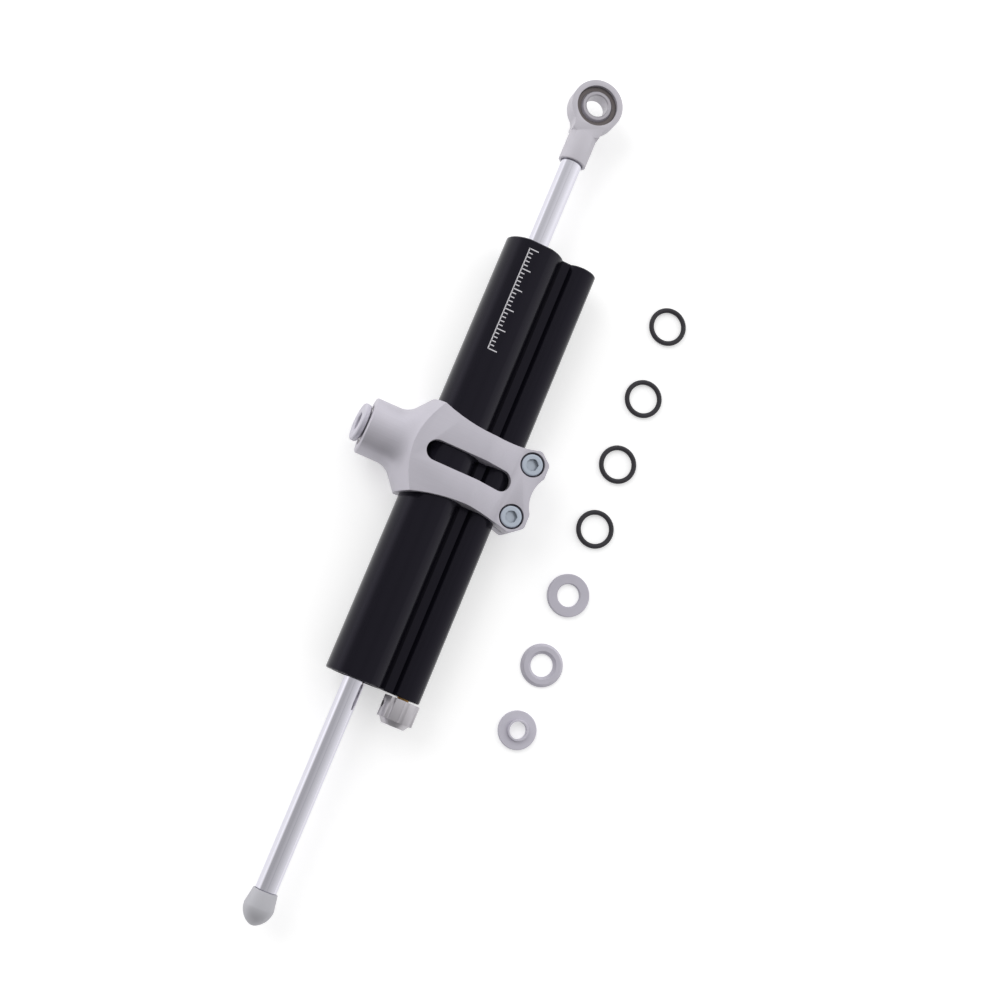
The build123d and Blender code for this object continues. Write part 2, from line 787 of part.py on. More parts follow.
def cartridge_o_ring():
    """The rubber ring between the cartridge and the bypass bore."""
    middle = cartridge_groove_start + cartridge_groove_width / 2
    seat = bypass_radius - seat_clearance - 2 * cartridge_ring_section
    return o_ring_x(seat, cartridge_ring_section, depth_x(middle), small_lobe_y)


def needle_guide():
    """The pressed-in sleeve whose square hole keeps the needle from turning."""
    guide = bar_x(cartridge_bore_radius - seat_clearance, depth_x(guide_start),
                  depth_x(cartridge_end), small_lobe_y)
    hole = Box(cartridge_end - guide_start + 2 * overrun, guide_square, guide_square)
    return guide - Pos(depth_x((guide_start + cartridge_end) / 2), small_lobe_y, 0) * hole


def adjuster_needle():
    """The needle: a square threaded shank, a round neck and a tapered tip."""
    width = guide_square - 2 * running_clearance
    shank = Pos(depth_x((needle_start + needle_shank_end) / 2), small_lobe_y, 0) * Box(
        needle_shank_end - needle_start, width, width)
    neck = bar_x(needle_neck_radius, depth_x(needle_shank_end), depth_x(needle_neck_end), small_lobe_y)
    tip = Pos(0, small_lobe_y, 0) * turned_x([
        (depth_x(needle_neck_end), 0),
        (depth_x(needle_neck_end), needle_neck_radius),
        (depth_x(needle_end), needle_tip_radius),
        (depth_x(needle_end), 0),
    ])
    thread = bar_x(spindle_stud_radius + running_clearance, depth_x(needle_start) - overrun,
                   depth_x(needle_start + needle_thread_depth), small_lobe_y)
    return shank + neck + tip - thread


def valve_seat():
    """The ring whose orifice the needle closes."""
    seat = ring_x(bypass_radius - seat_clearance, seat_orifice_radius, depth_x(seat_start),
                  depth_x(seat_start + seat_length), small_lobe_y)
    mouth = turned_x([
        (depth_x(seat_start), 0),
        (depth_x(seat_start), seat_orifice_radius + seat_mouth_chamfer),
        (depth_x(seat_start + seat_mouth_chamfer), seat_orifice_radius),
        (depth_x(seat_start + seat_mouth_chamfer), 0),
    ])
    return seat - Pos(0, small_lobe_y, 0) * mouth


# Compensator, with depths measured inwards from the upper end face

def bypass_plug():
    """The socket plug that closes the bypass bore."""
    start = inward(upper_face_x, plug_recess)
    end = inward(upper_face_x, plug_recess + plug_length)
    plug = bar_x(bypass_radius - seat_clearance, end, start, small_lobe_y)
    socket = hexagon_x(plug_socket_width, start + overrun, start - plug_socket_depth, small_lobe_y)
    return plug - socket


def plug_o_ring():
    """The rubber ring under the plug."""
    middle = inward(upper_face_x, plug_recess + plug_length + face_clearance + plug_ring_section)
    seat = bypass_radius - seat_clearance - 2 * plug_ring_section
    return o_ring_x(seat, plug_ring_section, middle, small_lobe_y)


def compensator_foam():
    """The closed-cell rod that takes up the oil's growth with heat."""
    return bar_x(bypass_radius - foam_gap, inward(upper_face_x, foam_start),
                 inward(upper_face_x, foam_end), small_lobe_y)


# Loose fitting kit

def kit_place(index, height=0):
    """Where a kit piece lies on the floor, counted from the eye's end of the row."""
    x = kit_row_start_x - kit_along_shares[index] * kit_row_length
    y = kit_row_y - kit_across_shares[index] * kit_row_drift
    return Pos(x, y, floor_z + height)


def spare_o_ring(index):
    """A spare rubber ring lying flat."""
    return kit_place(index, spare_ring_section) * Torus(spare_ring_radius, spare_ring_section)


def spacer_washer():
    """The flat spacer washer."""
    disc = bar_z(washer_radius, 0, washer_thickness)
    disc = chamfer(disc.edges().filter_by(GeomType.CIRCLE), washer_chamfer)
    washer = disc - bar_z(washer_bore_radius, -overrun, washer_thickness + overrun)
    return kit_place(spare_ring_count) * washer


def bevelled_washer():
    """The spacer washer whose top slopes to both rims."""
    wall = washer_radius - washer_bore_radius
    crown = wall * bevelled_washer_flat_share
    inner = washer_bore_radius + (wall - crown) / 2
    profile = Polyline(
        (washer_bore_radius, 0),
        (washer_radius, 0),
        (washer_radius, bevelled_washer_rim),
        (inner + crown, bevelled_washer_thickness),
        (inner, bevelled_washer_thickness),
        (washer_bore_radius, bevelled_washer_rim),
        close=True)
    return kit_place(spare_ring_count + 1) * revolve(Plane.XZ * make_face(profile), Axis.Z)


def stepped_collar():
    """The loose collar, its short spigot upwards."""
    top = loose_collar_thickness + loose_spigot_height
    flange = bar_z(loose_collar_radius, 0, loose_collar_thickness)
    flange = chamfer(flange.edges().filter_by(GeomType.CIRCLE), loose_collar_chamfer)
    spigot = bar_z(ball_bore_radius - seat_clearance, loose_collar_thickness, top)
    spigot = chamfer(spigot.edges().filter_by(GeomType.CIRCLE).sort_by(Axis.Z)[-1], loose_collar_chamfer)
    collar = flange + spigot - bar_z(collar_bore_radius, -overrun, top + overrun)
    return kit_place(spare_ring_count + 2) * collar


# Every node by name

def all_nodes():
    """Builds every node of the damper and its kit."""
    nodes = {"damper_body": damper_body()}
    for end, face in (("upper", upper_face_x), ("lower", lower_face_x)):
        nodes[f"{end}_seal_head"] = seal_head(face)
        nodes[f"{end}_rod_bush"] = rod_bush(face)
        nodes[f"{end}_rod_seal"] = rod_seal(face)
        nodes[f"{end}_rod_wiper"] = rod_wiper(face)
        nodes[f"{end}_head_o_ring"] = head_o_ring(face)
        nodes[f"{end}_head_circlip"] = head_circlip(face)
    nodes["piston_rod"] = piston_rod()
    nodes["piston"] = piston()
    nodes["piston_band"] = piston_band()
    nodes["piston_energiser"] = piston_energiser()
    nodes["upper_piston_clip"] = piston_clip(1)
    nodes["lower_piston_clip"] = piston_clip(-1)
    nodes["eye_housing"] = eye_housing()
    nodes["eye_race"] = bearing_race()
    nodes["eye_ball"] = bearing_ball()
    nodes["end_cap"] = end_cap()
    nodes["clamp"] = clamp()
    nodes["clamp_screws"] = clamp_screws()
    nodes["boss_race"] = boss_race()
    nodes["boss_ball"] = boss_ball()
    nodes["boss_collar"] = boss_collar()
    nodes["adjuster_knob"] = adjuster_knob()
    nodes["knob_grub_screw"] = knob_grub_screw()
    nodes["detent_ball"] = detent_ball()
    nodes["detent_spring"] = detent_spring()
    nodes["adjuster_spindle"] = adjuster_spindle()
    nodes["spindle_o_ring"] = spindle_o_ring()
    nodes["adjuster_cartridge"] = adjuster_cartridge()
    nodes["cartridge_o_ring"] = cartridge_o_ring()
    nodes["needle_guide"] = needle_guide()
    nodes["adjuster_needle"] = adjuster_needle()
    nodes["valve_seat"] = valve_seat()
    nodes["bypass_plug"] = bypass_plug()
    nodes["plug_o_ring"] = plug_o_ring()
    nodes["compensator_foam"] = compensator_foam()
    for index in range(spare_ring_count):
        nodes[f"spare_o_ring_{index + 1}"] = spare_o_ring(index)
    nodes["spacer_washer"] = spacer_washer()
    nodes["bevelled_washer"] = bevelled_washer()
    nodes["stepped_collar"] = stepped_collar()
    return nodes


os.makedirs("parts", exist_ok=True)
for name, shape in all_nodes().items():
    export_step(shape, f"parts/{name}.step")
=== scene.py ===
import json
import logging
import math
from collections.abc import Callable, Sequence
from dataclasses import dataclass, field
from enum import Enum
from functools import partial

import bmesh
import bpy
from mathutils import Matrix, Vector


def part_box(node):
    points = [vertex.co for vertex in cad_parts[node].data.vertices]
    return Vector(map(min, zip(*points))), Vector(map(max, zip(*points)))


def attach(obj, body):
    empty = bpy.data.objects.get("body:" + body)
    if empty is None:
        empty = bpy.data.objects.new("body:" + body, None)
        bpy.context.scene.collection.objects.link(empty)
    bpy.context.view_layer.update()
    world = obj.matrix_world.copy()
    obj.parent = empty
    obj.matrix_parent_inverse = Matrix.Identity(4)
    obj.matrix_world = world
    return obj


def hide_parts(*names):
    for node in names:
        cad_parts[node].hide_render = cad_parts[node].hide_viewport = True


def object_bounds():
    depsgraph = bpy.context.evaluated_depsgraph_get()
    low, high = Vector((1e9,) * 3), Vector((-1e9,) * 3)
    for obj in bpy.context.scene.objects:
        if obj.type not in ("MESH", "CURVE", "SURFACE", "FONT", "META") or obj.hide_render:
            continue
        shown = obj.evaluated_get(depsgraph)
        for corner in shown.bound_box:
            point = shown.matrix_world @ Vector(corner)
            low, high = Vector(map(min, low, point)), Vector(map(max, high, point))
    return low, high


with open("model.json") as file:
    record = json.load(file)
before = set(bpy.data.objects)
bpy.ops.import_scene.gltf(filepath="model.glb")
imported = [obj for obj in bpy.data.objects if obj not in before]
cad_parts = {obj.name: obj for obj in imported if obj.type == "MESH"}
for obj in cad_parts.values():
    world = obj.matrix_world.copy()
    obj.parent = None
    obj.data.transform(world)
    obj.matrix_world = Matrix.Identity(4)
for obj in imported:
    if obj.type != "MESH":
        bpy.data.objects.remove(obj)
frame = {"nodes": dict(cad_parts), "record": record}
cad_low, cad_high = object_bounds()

# The looks of a motorcycle steering damper, its clamp and its loose fitting kit, built around
# the packed CAD frame. Places are metres in that frame. Its origin is the eye's centre: X runs
# along the rod and out past the eye, Y towards the clamp's boss and Z up.

MM = 0.001

# Points that are nearer than this to each other are one point: in a finished solid, in a drawing
# or a turned form, and after a cut.
WELD = 1e-7
JOIN = 1e-6
CUT_JOIN = 2e-6

# How far a form reaches past what it cuts or joins.
OVERRUN = 1.0 * MM

# Into how many parts a full turn is divided, for large forms and for small ones.
FINE_STEPS = 128
SMALL_STEPS = 64

logging.basicConfig(level=logging.INFO, format="%(message)s")
log = logging.getLogger("damper")


# Shader graphs

class Wave(Enum):
    """Which way the fine lines of a machined surface run."""

    ALONG_X = (0.0, 1.0, 1.0)
    ALONG_Y = (1.0, 0.0, 1.0)


@dataclass
class Signal:
    """A node's output that Python's operators turn into Math nodes.

    Attributes:
        graph: the graph that holds the node.
        socket: the output.
    """

    graph: "Graph"
    socket: bpy.types.NodeSocket

    def _math(self, operation: str, *values: "Signal | float") -> "Signal":
        """Adds a Math node.

        Args:
            operation: the Math node's operation.
            values: its inputs in order.

        Returns:
            The node's result.
        """
        return self.graph.node("ShaderNodeMath", {"operation": operation}, dict(enumerate(values)))

    def __add__(self, other: "Signal | float") -> "Signal":
        """Adds."""
        return self._math("ADD", self, other)

    def __radd__(self, other: float) -> "Signal":
        """Adds to a number."""
        return self._math("ADD", other, self)

    def __sub__(self, other: "Signal | float") -> "Signal":
        """Subtracts."""
        return self._math("SUBTRACT", self, other)

    def __rsub__(self, other: float) -> "Signal":
        """Subtracts from a number."""
        return self._math("SUBTRACT", other, self)

    def __mul__(self, other: "Signal | float") -> "Signal":
        """Multiplies."""
        return self._math("MULTIPLY", self, other)

    def __rmul__(self, other: float) -> "Signal":
        """Multiplies a number."""
        return self._math("MULTIPLY", other, self)

    def __truediv__(self, other: "Signal | float") -> "Signal":
        """Divides."""
        return self._math("DIVIDE", self, other)

    def __rtruediv__(self, other: float) -> "Signal":
        """Divides a number."""
        return self._math("DIVIDE", other, self)

    def sine(self) -> "Signal":
        """The sine of the value."""
        return self._math("SINE", self)

    def larger(self, other: "Signal | float") -> "Signal":
        """The larger of two values."""
        return self._math("MAXIMUM", self, other)

    def smaller(self, other: "Signal | float") -> "Signal":
        """The smaller of two values."""
        return self._math("MINIMUM", self, other)

    def root(self) -> "Signal":
        """The square root of the value."""
        return self._math("SQRT", self)


@dataclass
class Graph:
    """A material's or world's node tree, emptied and built again.

    Attributes:
        tree: the tree.
    """

    tree: bpy.types.NodeTree

    def __post_init__(self) -> None:
        """Clears the tree."""
        self.tree.nodes.clear()

    def node(self, kind: str, settings: dict[str, object] | None = None,
             inputs: dict[object, object] | None = None, output: int | str = 0) -> Signal:
        """Adds one node.

        Args:
            kind: the node's type.
            settings: attributes to set first, or a ramp's stops under the name "stops".
            inputs: values or signals by the input's name or number.
            output: the output to read.

        Returns:
            The chosen output, or the first input of a node that has no output.
        """
        made = self.tree.nodes.new(kind)
        for name, value in (settings or {}).items():
            if name == "stops":
                ramp = made.color_ramp
                while len(ramp.elements) < len(value):
                    ramp.elements.new(1.0)
                for element, (place, shade) in zip(ramp.elements, value):
                    element.position = place
                    element.color = (shade, shade, shade, 1.0)
            else:
                setattr(made, name, value)
        for key, value in (inputs or {}).items():
            socket = made.inputs[key]
            if isinstance(value, Signal):
                self.tree.links.new(value.socket, socket)
            else:
                socket.default_value = value
        return Signal(self, made.outputs[output] if made.outputs else made.inputs[0])

    def place(self) -> Signal:
        """The point on the piece in the frame, from Object coordinates."""
        return self.node("ShaderNodeTexCoord", output="Object")

    def parts(self, vector: Signal) -> tuple[Signal, Signal, Signal]:
        """A vector's three numbers.

        Args:
            vector: the vector.

        Returns:
            Its X, Y and Z.
        """
        split = self.tree.nodes.new("ShaderNodeSeparateXYZ")
        self.tree.links.new(vector.socket, split.inputs[0])
        return tuple(Signal(self, one) for one in split.outputs)

    def noise(self, scale: float, detail: float,
              stretch: Sequence[float] = (1.0, 1.0, 1.0)) -> Signal:
        """Seedless noise over the frame.

        Args:
            scale: cells per metre.
            detail: octaves.
            stretch: factors for X, Y and Z, where 0 gives lines along that axis.

        Returns:
            The noise, about 0.5 in the middle.
        """
        mapped = self.node("ShaderNodeMapping", None, {"Vector": self.place(), "Scale": tuple(stretch)})
        return self.node("ShaderNodeTexNoise", None, {"Vector": mapped, "Scale": scale, "Detail": detail})

    def bump(self, height: Signal, strength: float, depth: float) -> Signal:
        """The normal of a fine relief.

        Args:
            height: the relief, from 0 to 1.
            strength: how much of it is used.
            depth: its height in metres.

        Returns:
            The normal.
        """
        return self.node("ShaderNodeBump", None,
                         {"Height": height, "Strength": strength, "Distance": depth})

    def shaded(self, low: "Sequence[float] | Signal", high: "Sequence[float] | Signal",
               share: Signal) -> Signal:
        """A colour between two colours.

        Args:
            low: the colour where share is 0.
            high: the colour where share is 1.
            share: the place between them.

        Returns:
            The mixed colour.
        """
        ends = [one if isinstance(one, Signal) else (*one, 1.0) for one in (low, high)]
        return self.node("ShaderNodeMix", {"data_type": "RGBA"}, {0: share, 6: ends[0], 7: ends[1]},
                         output=2)


@dataclass(frozen=True)
class Finish:
    """A plain surface, and the base of the worked ones.

    Attributes:
        name: the material's name.
        slot: the record's material slot, or nothing for a print that has none.
        colour: its linear base colour.
        metallic: 0 for paint or rubber, 1 for bare metal.
        roughness: its middle roughness.
        variation: how far colour and roughness wander, as a share.
        specular: the strength of the gloss on what is not metal.
        gloss_tint: the colour of that gloss seen head on.
    """

    name: str
    slot: str
    colour: tuple[float, float, float]
    metallic: float = 0.0
    roughness: float = 0.5
    variation: float = 0.08
    specular: float = 0.5
    gloss_tint: tuple[float, float, float] = (1.0, 1.0, 1.0)

    blotch_scale = 90.0
    blotch_detail = 3.0

    def pattern(self, graph: Graph) -> Signal:
        """The unevenness of the surface, about 0.5 in the middle."""
        return graph.noise(self.blotch_scale, self.blotch_detail)

    def relief(self, graph: Graph) -> Signal | None:
        """The normal of the fine relief, or None for a smooth surface."""
        return None

    def tone(self, graph: Graph, share: Signal) -> Signal:
        """The base colour, a little darker and lighter with the pattern.

        Args:
            graph: the material's graph.
            share: the pattern.

        Returns:
            The colour.
        """
        dark = tuple(c * (1.0 - self.variation) for c in self.colour)
        light = tuple(min(1.0, c * (1.0 + self.variation)) for c in self.colour)
        return graph.shaded(dark, light, share)

    def material(self) -> bpy.types.Material:
        """Builds the material once and returns it.

        Returns:
            The material.
        """
        known = bpy.data.materials.get(self.name)
        if known is not None:
            return known
        made = bpy.data.materials.new(self.name)
        made.use_nodes = True
        graph = Graph(made.node_tree)
        share = self.pattern(graph)
        rough = (share - 0.5) * (self.variation * self.roughness * 2.0) + self.roughness
        inputs: dict[object, object] = {
            "Base Color": self.tone(graph, share),
            "Roughness": rough,
            "Metallic": self.metallic,
            "Specular IOR Level": self.specular,
            "Specular Tint": (*self.gloss_tint, 1.0),
        }
        normal = self.relief(graph)
        if normal is not None:
            inputs["Normal"] = normal
        shader = graph.node("ShaderNodeBsdfPrincipled", None, inputs)
        graph.node("ShaderNodeOutputMaterial", None, {"Surface": shader})
        return made


@dataclass(frozen=True)
class Brushed(Finish):
    """Metal with fine straight lines.

    Attributes:
        lines: which way the lines run.
        line_scale: lines per metre.
        line_share: the lines' share of the pattern, against the blotches.
        depth: the relief's height in metres.
    """

    lines: Wave = Wave.ALONG_X
    line_scale: float = 2600.0
    line_share: float = 0.55
    depth: float = 4e-6

    line_detail = 2.0
    strength = 0.5

    def streaks(self, graph: Graph) -> Signal:
        """The fine lines."""
        return graph.noise(self.line_scale, self.line_detail, self.lines.value)

    def pattern(self, graph: Graph) -> Signal:
        """Fine lines with broad blotches under them."""
        blotches = super().pattern(graph)
        return self.streaks(graph) * self.line_share + blotches * (1.0 - self.line_share)

    def relief(self, graph: Graph) -> Signal | None:
        """The lines' normal."""
        return graph.bump(self.streaks(graph), self.strength, self.depth)


@dataclass(frozen=True)
class Turned(Finish):
    """Metal with the fine rings of a lathe round an axis.

    Attributes:
        centre: a point on the axis in the frame.
        axis: which axis the rings go round: 0, 1 or 2.
        ring_pitch: the distance between rings in metres.
        ring_share: the rings' share of the pattern, against the blotches.
        depth: the relief's height in metres.
    """

    centre: tuple[float, float, float] = (0.0, 0.0, 0.0)
    axis: int = 2
    ring_pitch: float = 0.45e-3
    ring_share: float = 0.4
    depth: float = 6e-6

    wander_scale = 700.0
    wander_detail = 2.0
    wander_radians = 2.0
    strength = 0.4

    def rings(self, graph: Graph) -> Signal:
        """Waves that go out from the axis, blurred by a little noise.

        Args:
            graph: the material's graph.

        Returns:
            The relief, from 0 to 1.
        """
        found = graph.parts(graph.place())
        away = [found[i] - self.centre[i] for i in range(3) if i != self.axis]
        radius = (away[0] * away[0] + away[1] * away[1]).root()
        along = found[self.axis] - self.centre[self.axis]
        wander = graph.noise(self.wander_scale, self.wander_detail) * self.wander_radians
        return ((radius + along) * (math.tau / self.ring_pitch) + wander).sine() * 0.5 + 0.5

    def pattern(self, graph: Graph) -> Signal:
        """Rings with broad blotches under them."""
        return self.rings(graph) * self.ring_share + super().pattern(graph) * (1.0 - self.ring_share)

    def relief(self, graph: Graph) -> Signal | None:
        """The rings' normal."""
        return graph.bump(self.rings(graph), self.strength, self.depth)


@dataclass(frozen=True)
class Grained(Finish):
    """A surface with a fine even grain, such as moulded rubber or blasted metal.

    Attributes:
        grain_scale: grains per metre.
        depth: the relief's height in metres.
    """

    grain_scale: float = 2200.0
    depth: float = 8e-6

    grain_detail = 3.0
    strength = 0.35

    def relief(self, graph: Graph) -> Signal | None:
        """The grain's normal."""
        return graph.bump(graph.noise(self.grain_scale, self.grain_detail), self.strength, self.depth)


@dataclass(frozen=True)
class SocketShaded(Grained):
    """A grained surface with painted shade between two heights, on the walls of a deep socket.

    Attributes:
        top: the upper height in metres.
        floor: the lower height in metres.
        fade: over what height the painted shade grows.
        shade_kept: the share of the colour that is left in the painted shade.
    """

    top: float = 0.0
    floor: float = 0.0
    fade: float = 0.2e-3
    shade_kept: float = 0.25

    def tone(self, graph: Graph, share: Signal) -> Signal:
        """The base colour, darkened between the two heights as painted shade.

        Args:
            graph: the material's graph.
            share: the pattern.

        Returns:
            The colour.
        """
        height = graph.parts(graph.place())[2]
        under = ((self.top - height) / self.fade).larger(0.0).smaller(1.0)
        over = ((height - self.floor) / self.fade).larger(0.0).smaller(1.0)
        # Painted shade: the colour is darkened on the socket's walls, where the real socket lies in
        # shade.
        painted_shade = tuple(c * self.shade_kept for c in self.colour)
        return graph.shaded(super().tone(graph, share), painted_shade, under * over)


# Mesh forming

Point = tuple[float, float]


@dataclass
class Outline:
    """A flat closed line in a plane, drawn from corner to corner with lines and arcs.

    Attributes:
        bm: the mesh that takes the line.
        steps_per_turn: how finely arcs are divided.
        tip: the point where the pen is.
        first: the point where it started.
    """

    bm: bmesh.types.BMesh
    steps_per_turn: int = FINE_STEPS
    tip: bmesh.types.BMVert | None = None
    first: bmesh.types.BMVert | None = None

    def start(self, at: Point) -> "Outline":
        """Puts the pen down."""
        self.tip = self.first = bmesh.ops.create_vert(self.bm, co=(*at, 0.0))["vert"][0]
        return self

    def line(self, to: Point) -> "Outline":
        """Draws a straight line.

        Args:
            to: where it ends.

        Returns:
            The outline.
        """
        made = bmesh.ops.extrude_vert_indiv(self.bm, verts=[self.tip])["verts"][0]
        made.co = (*to, 0.0)
        self.tip = made
        return self

    def arc(self, centre: Point, degrees: float) -> "Outline":
        """Draws an arc about a centre, anticlockwise for a positive angle.

        Args:
            centre: the arc's centre.
            degrees: how far it turns.

        Returns:
            The outline.
        """
        steps = max(2, round(abs(degrees) / 360.0 * self.steps_per_turn))
        made = bmesh.ops.spin(self.bm, geom=[self.tip], cent=(*centre, 0.0), axis=(0, 0, 1),
                              dvec=(0, 0, 0), angle=math.radians(degrees), steps=steps,
                              use_duplicate=False)
        self.tip = next(e for e in made["geom_last"] if isinstance(e, bmesh.types.BMVert))
        return self

    def through(self, middle: Point, end: Point) -> "Outline":
        """Draws the arc that passes a middle point and ends at another.

        Args:
            middle: a point on the arc.
            end: where it ends.

        Returns:
            The outline.
        """
        start = self.tip.co.xy
        centre = circle_centre(start, Vector(middle), Vector(end))
        first, via, last = ((Vector(p) - centre) for p in (start, middle, end))
        turn = first.angle_signed(last) * -1.0
        part = first.angle_signed(via) * -1.0
        if part * turn < 0 or abs(part) > abs(turn):
            turn -= math.copysign(math.tau, turn)
        self.arc(tuple(centre), math.degrees(turn))
        self.tip.co = (*end, 0.0)
        return self

    def close(self) -> None:
        """Joins the end to the start."""
        if (self.tip.co - self.first.co).length > JOIN:
            bmesh.ops.contextual_create(self.bm, geom=[self.tip, self.first])
        bmesh.ops.remove_doubles(self.bm, verts=self.bm.verts, dist=JOIN)


def circle_centre(a: Vector, b: Vector, c: Vector) -> Vector:
    """The centre of the circle through three flat points.

    Args:
        a: the first point.
        b: the second point.
        c: the third point.

    Returns:
        The centre.
    """
    d = 2.0 * (a.x * (b.y - c.y) + b.x * (c.y - a.y) + c.x * (a.y - b.y))
    a2, b2, c2 = a.length_squared, b.length_squared, c.length_squared
    return Vector(((a2 * (b.y - c.y) + b2 * (c.y - a.y) + c2 * (a.y - b.y)) / d,
                   (a2 * (c.x - b.x) + b2 * (a.x - c.x) + c2 * (b.x - a.x)) / d))


def basis(right: Sequence[float], up: Sequence[float], at: Sequence[float] = (0.0, 0.0, 0.0)) -> Matrix:
    """The placement that lays a flat drawing's X and Y along two directions.

    Args:
        right: where the drawing's X goes.
        up: where the drawing's Y goes.
        at: where its origin goes.

    Returns:
        The matrix.
    """
    x, y = Vector(right), Vector(up)
    z = x.cross(y)
    made = Matrix((x, y, z)).transposed().to_4x4()
    made.translation = Vector(at)
    return made


# Drawings lie across the rod or level, and turned forms stand upright or point out of the boss.
ACROSS = basis((0, 1, 0), (0, 0, 1))
LEVEL = basis((1, 0, 0), (0, 1, 0))
STANDING = basis((0, 0, 1), (0, 1, 0))
ALONG_BOSS = basis((0, 1, 0), (1, 0, 0))


@dataclass
class Solid:
    """A closed mesh while it is being shaped.

    Attributes:
        bm: its mesh.
    """

    bm: bmesh.types.BMesh = field(default_factory=bmesh.new)

    flat_degrees = 1.0

    @classmethod
    def plate(cls, draw: Callable[[Outline], object], holes: Sequence[tuple[Point, float]],
              depth: float, lay: Matrix, steps: int = FINE_STEPS) -> "Solid":
        """A flat outline with round holes, pulled into a plate.

        Args:
            draw: draws the outline.
            holes: each hole's centre and radius.
            depth: how far it is pulled along the drawing's normal.
            lay: where the drawing lies.
            steps: how finely arcs are divided.

        Returns:
            The plate.
        """
        made = cls()
        pen = Outline(made.bm, steps)
        draw(pen)
        pen.close()
        for centre, radius in holes:
            bmesh.ops.create_circle(made.bm, cap_ends=False, segments=steps, radius=radius,
                                    matrix=Matrix.Translation((*centre, 0.0)))
        bmesh.ops.triangle_fill(made.bm, use_beauty=True, use_dissolve=False, edges=list(made.bm.edges))
        bmesh.ops.dissolve_limit(made.bm, angle_limit=math.radians(cls.flat_degrees), verts=made.bm.verts,
                                 edges=made.bm.edges, use_dissolve_boundaries=False)
        pulled = bmesh.ops.extrude_face_region(made.bm, geom=list(made.bm.faces))["geom"]
        moved = [e for e in pulled if isinstance(e, bmesh.types.BMVert)]
        bmesh.ops.translate(made.bm, verts=moved, vec=(0, 0, depth))
        return made.placed(lay).outward()

    @classmethod
    def turned(cls, draw: Callable[[Outline], object], steps: int = FINE_STEPS,
               closed: bool = False) -> "Solid":
        """A profile of length along X and radius along Y, spun about X.

        Args:
            draw: draws the profile.
            steps: how many parts the turn has.
            closed: whether the profile is a closed line, as of a ring.

        Returns:
            The turned piece, its axis along X.
        """
        made = cls()
        pen = Outline(made.bm, steps)
        draw(pen)
        if closed:
            pen.close()
        bmesh.ops.spin(made.bm, geom=list(made.bm.verts) + list(made.bm.edges), cent=(0, 0, 0),
                       axis=(1, 0, 0), dvec=(0, 0, 0), angle=math.tau, steps=steps, use_merge=True,
                       use_duplicate=False)
        bmesh.ops.remove_doubles(made.bm, verts=made.bm.verts, dist=JOIN)
        return made.outward()

    @classmethod
    def cylinder(cls, radius: float, low: float, high: float, steps: int = SMALL_STEPS) -> "Solid":
        """A round bar along X between two places."""
        return cls.turned(lambda pen: pen.start((low, 0.0)).line((low, radius)).line((high, radius))
                          .line((high, 0.0)), steps)

    @classmethod
    def block(cls, low: Sequence[float], high: Sequence[float]) -> "Solid":
        """A box between two corners.

        Args:
            low: its lowest corner.
            high: its highest corner.

        Returns:
            The block.
        """
        made = cls()
        size = Vector(high) - Vector(low)
        middle = (Vector(high) + Vector(low)) / 2.0
        stretch = Matrix.Diagonal((*size, 1.0))
        bmesh.ops.create_cube(made.bm, size=1.0, matrix=Matrix.Translation(middle) @ stretch)
        return made

    def placed(self, matrix: Matrix) -> "Solid":
        """Moves and turns the whole mesh."""
        bmesh.ops.transform(self.bm, matrix=matrix, verts=self.bm.verts)
        return self

    def outward(self) -> "Solid":
        """Merges doubles and points every face outwards.

        Returns:
            The solid.
        """
        bmesh.ops.remove_doubles(self.bm, verts=self.bm.verts, dist=WELD)
        bmesh.ops.recalc_face_normals(self.bm, faces=self.bm.faces)
        return self

    def softened(self, width: float, segments: int = 2, degrees: float = 25.0,
                 test: Callable[[bmesh.types.BMEdge], bool] | None = None) -> "Solid":
        """Rounds the sharp edges.

        Args:
            width: the width of the rounding in metres.
            segments: how many faces it has.
            degrees: the least angle of an edge that is rounded.
            test: a further test of which edges are rounded.

        Returns:
            The same solid.
        """
        limit = math.radians(degrees)
        chosen = [e for e in self.bm.edges if e.is_manifold and e.calc_face_angle(0.0) > limit
                  and (test is None or test(e))]
        bmesh.ops.bevel(self.bm, geom=chosen, offset=width, offset_type="OFFSET", affect="EDGES",
                        segments=segments, profile=0.5, material=-1, clamp_overlap=True)
        return self

    def mesh(self, name: str) -> bpy.types.Mesh:
        """Hands the finished mesh over.

        Args:
            name: the mesh's name.

        Returns:
            The mesh.
        """
        made = bpy.data.meshes.new(name)
        self.bm.to_mesh(made)
        self.bm.free()
        return made

    def cut(self, *others: "Solid", operation: str = "DIFFERENCE") -> "Solid":
        """Cuts, joins or crosses this solid with others.

        Args:
            others: the other solids, used up.
            operation: DIFFERENCE, UNION or INTERSECT.

        Returns:
            A new solid.
        """
        target = bpy.data.objects.new("cut_target", self.mesh("cut_target"))
        bpy.context.scene.collection.objects.link(target)
        tools = []
        for other in others:
            tool = bpy.data.objects.new("cut_tool", other.mesh("cut_tool"))
            bpy.context.scene.collection.objects.link(tool)
            step = target.modifiers.new("cut", "BOOLEAN")
            step.operation = operation
            step.solver = "EXACT"
            step.object = tool
            tools.append(tool)
        depsgraph = bpy.context.evaluated_depsgraph_get()
        made = Solid()
        made.bm.from_mesh(target.evaluated_get(depsgraph).to_mesh())
        target.evaluated_get(depsgraph).to_mesh_clear()
        for used in [target, *tools]:
            data = used.data
            bpy.data.objects.remove(used)
            bpy.data.meshes.remove(data)
        bmesh.ops.remove_doubles(made.bm, verts=made.bm.verts, dist=CUT_JOIN)
        bmesh.ops.dissolve_degenerate(made.bm, dist=JOIN, edges=made.bm.edges)
        return made


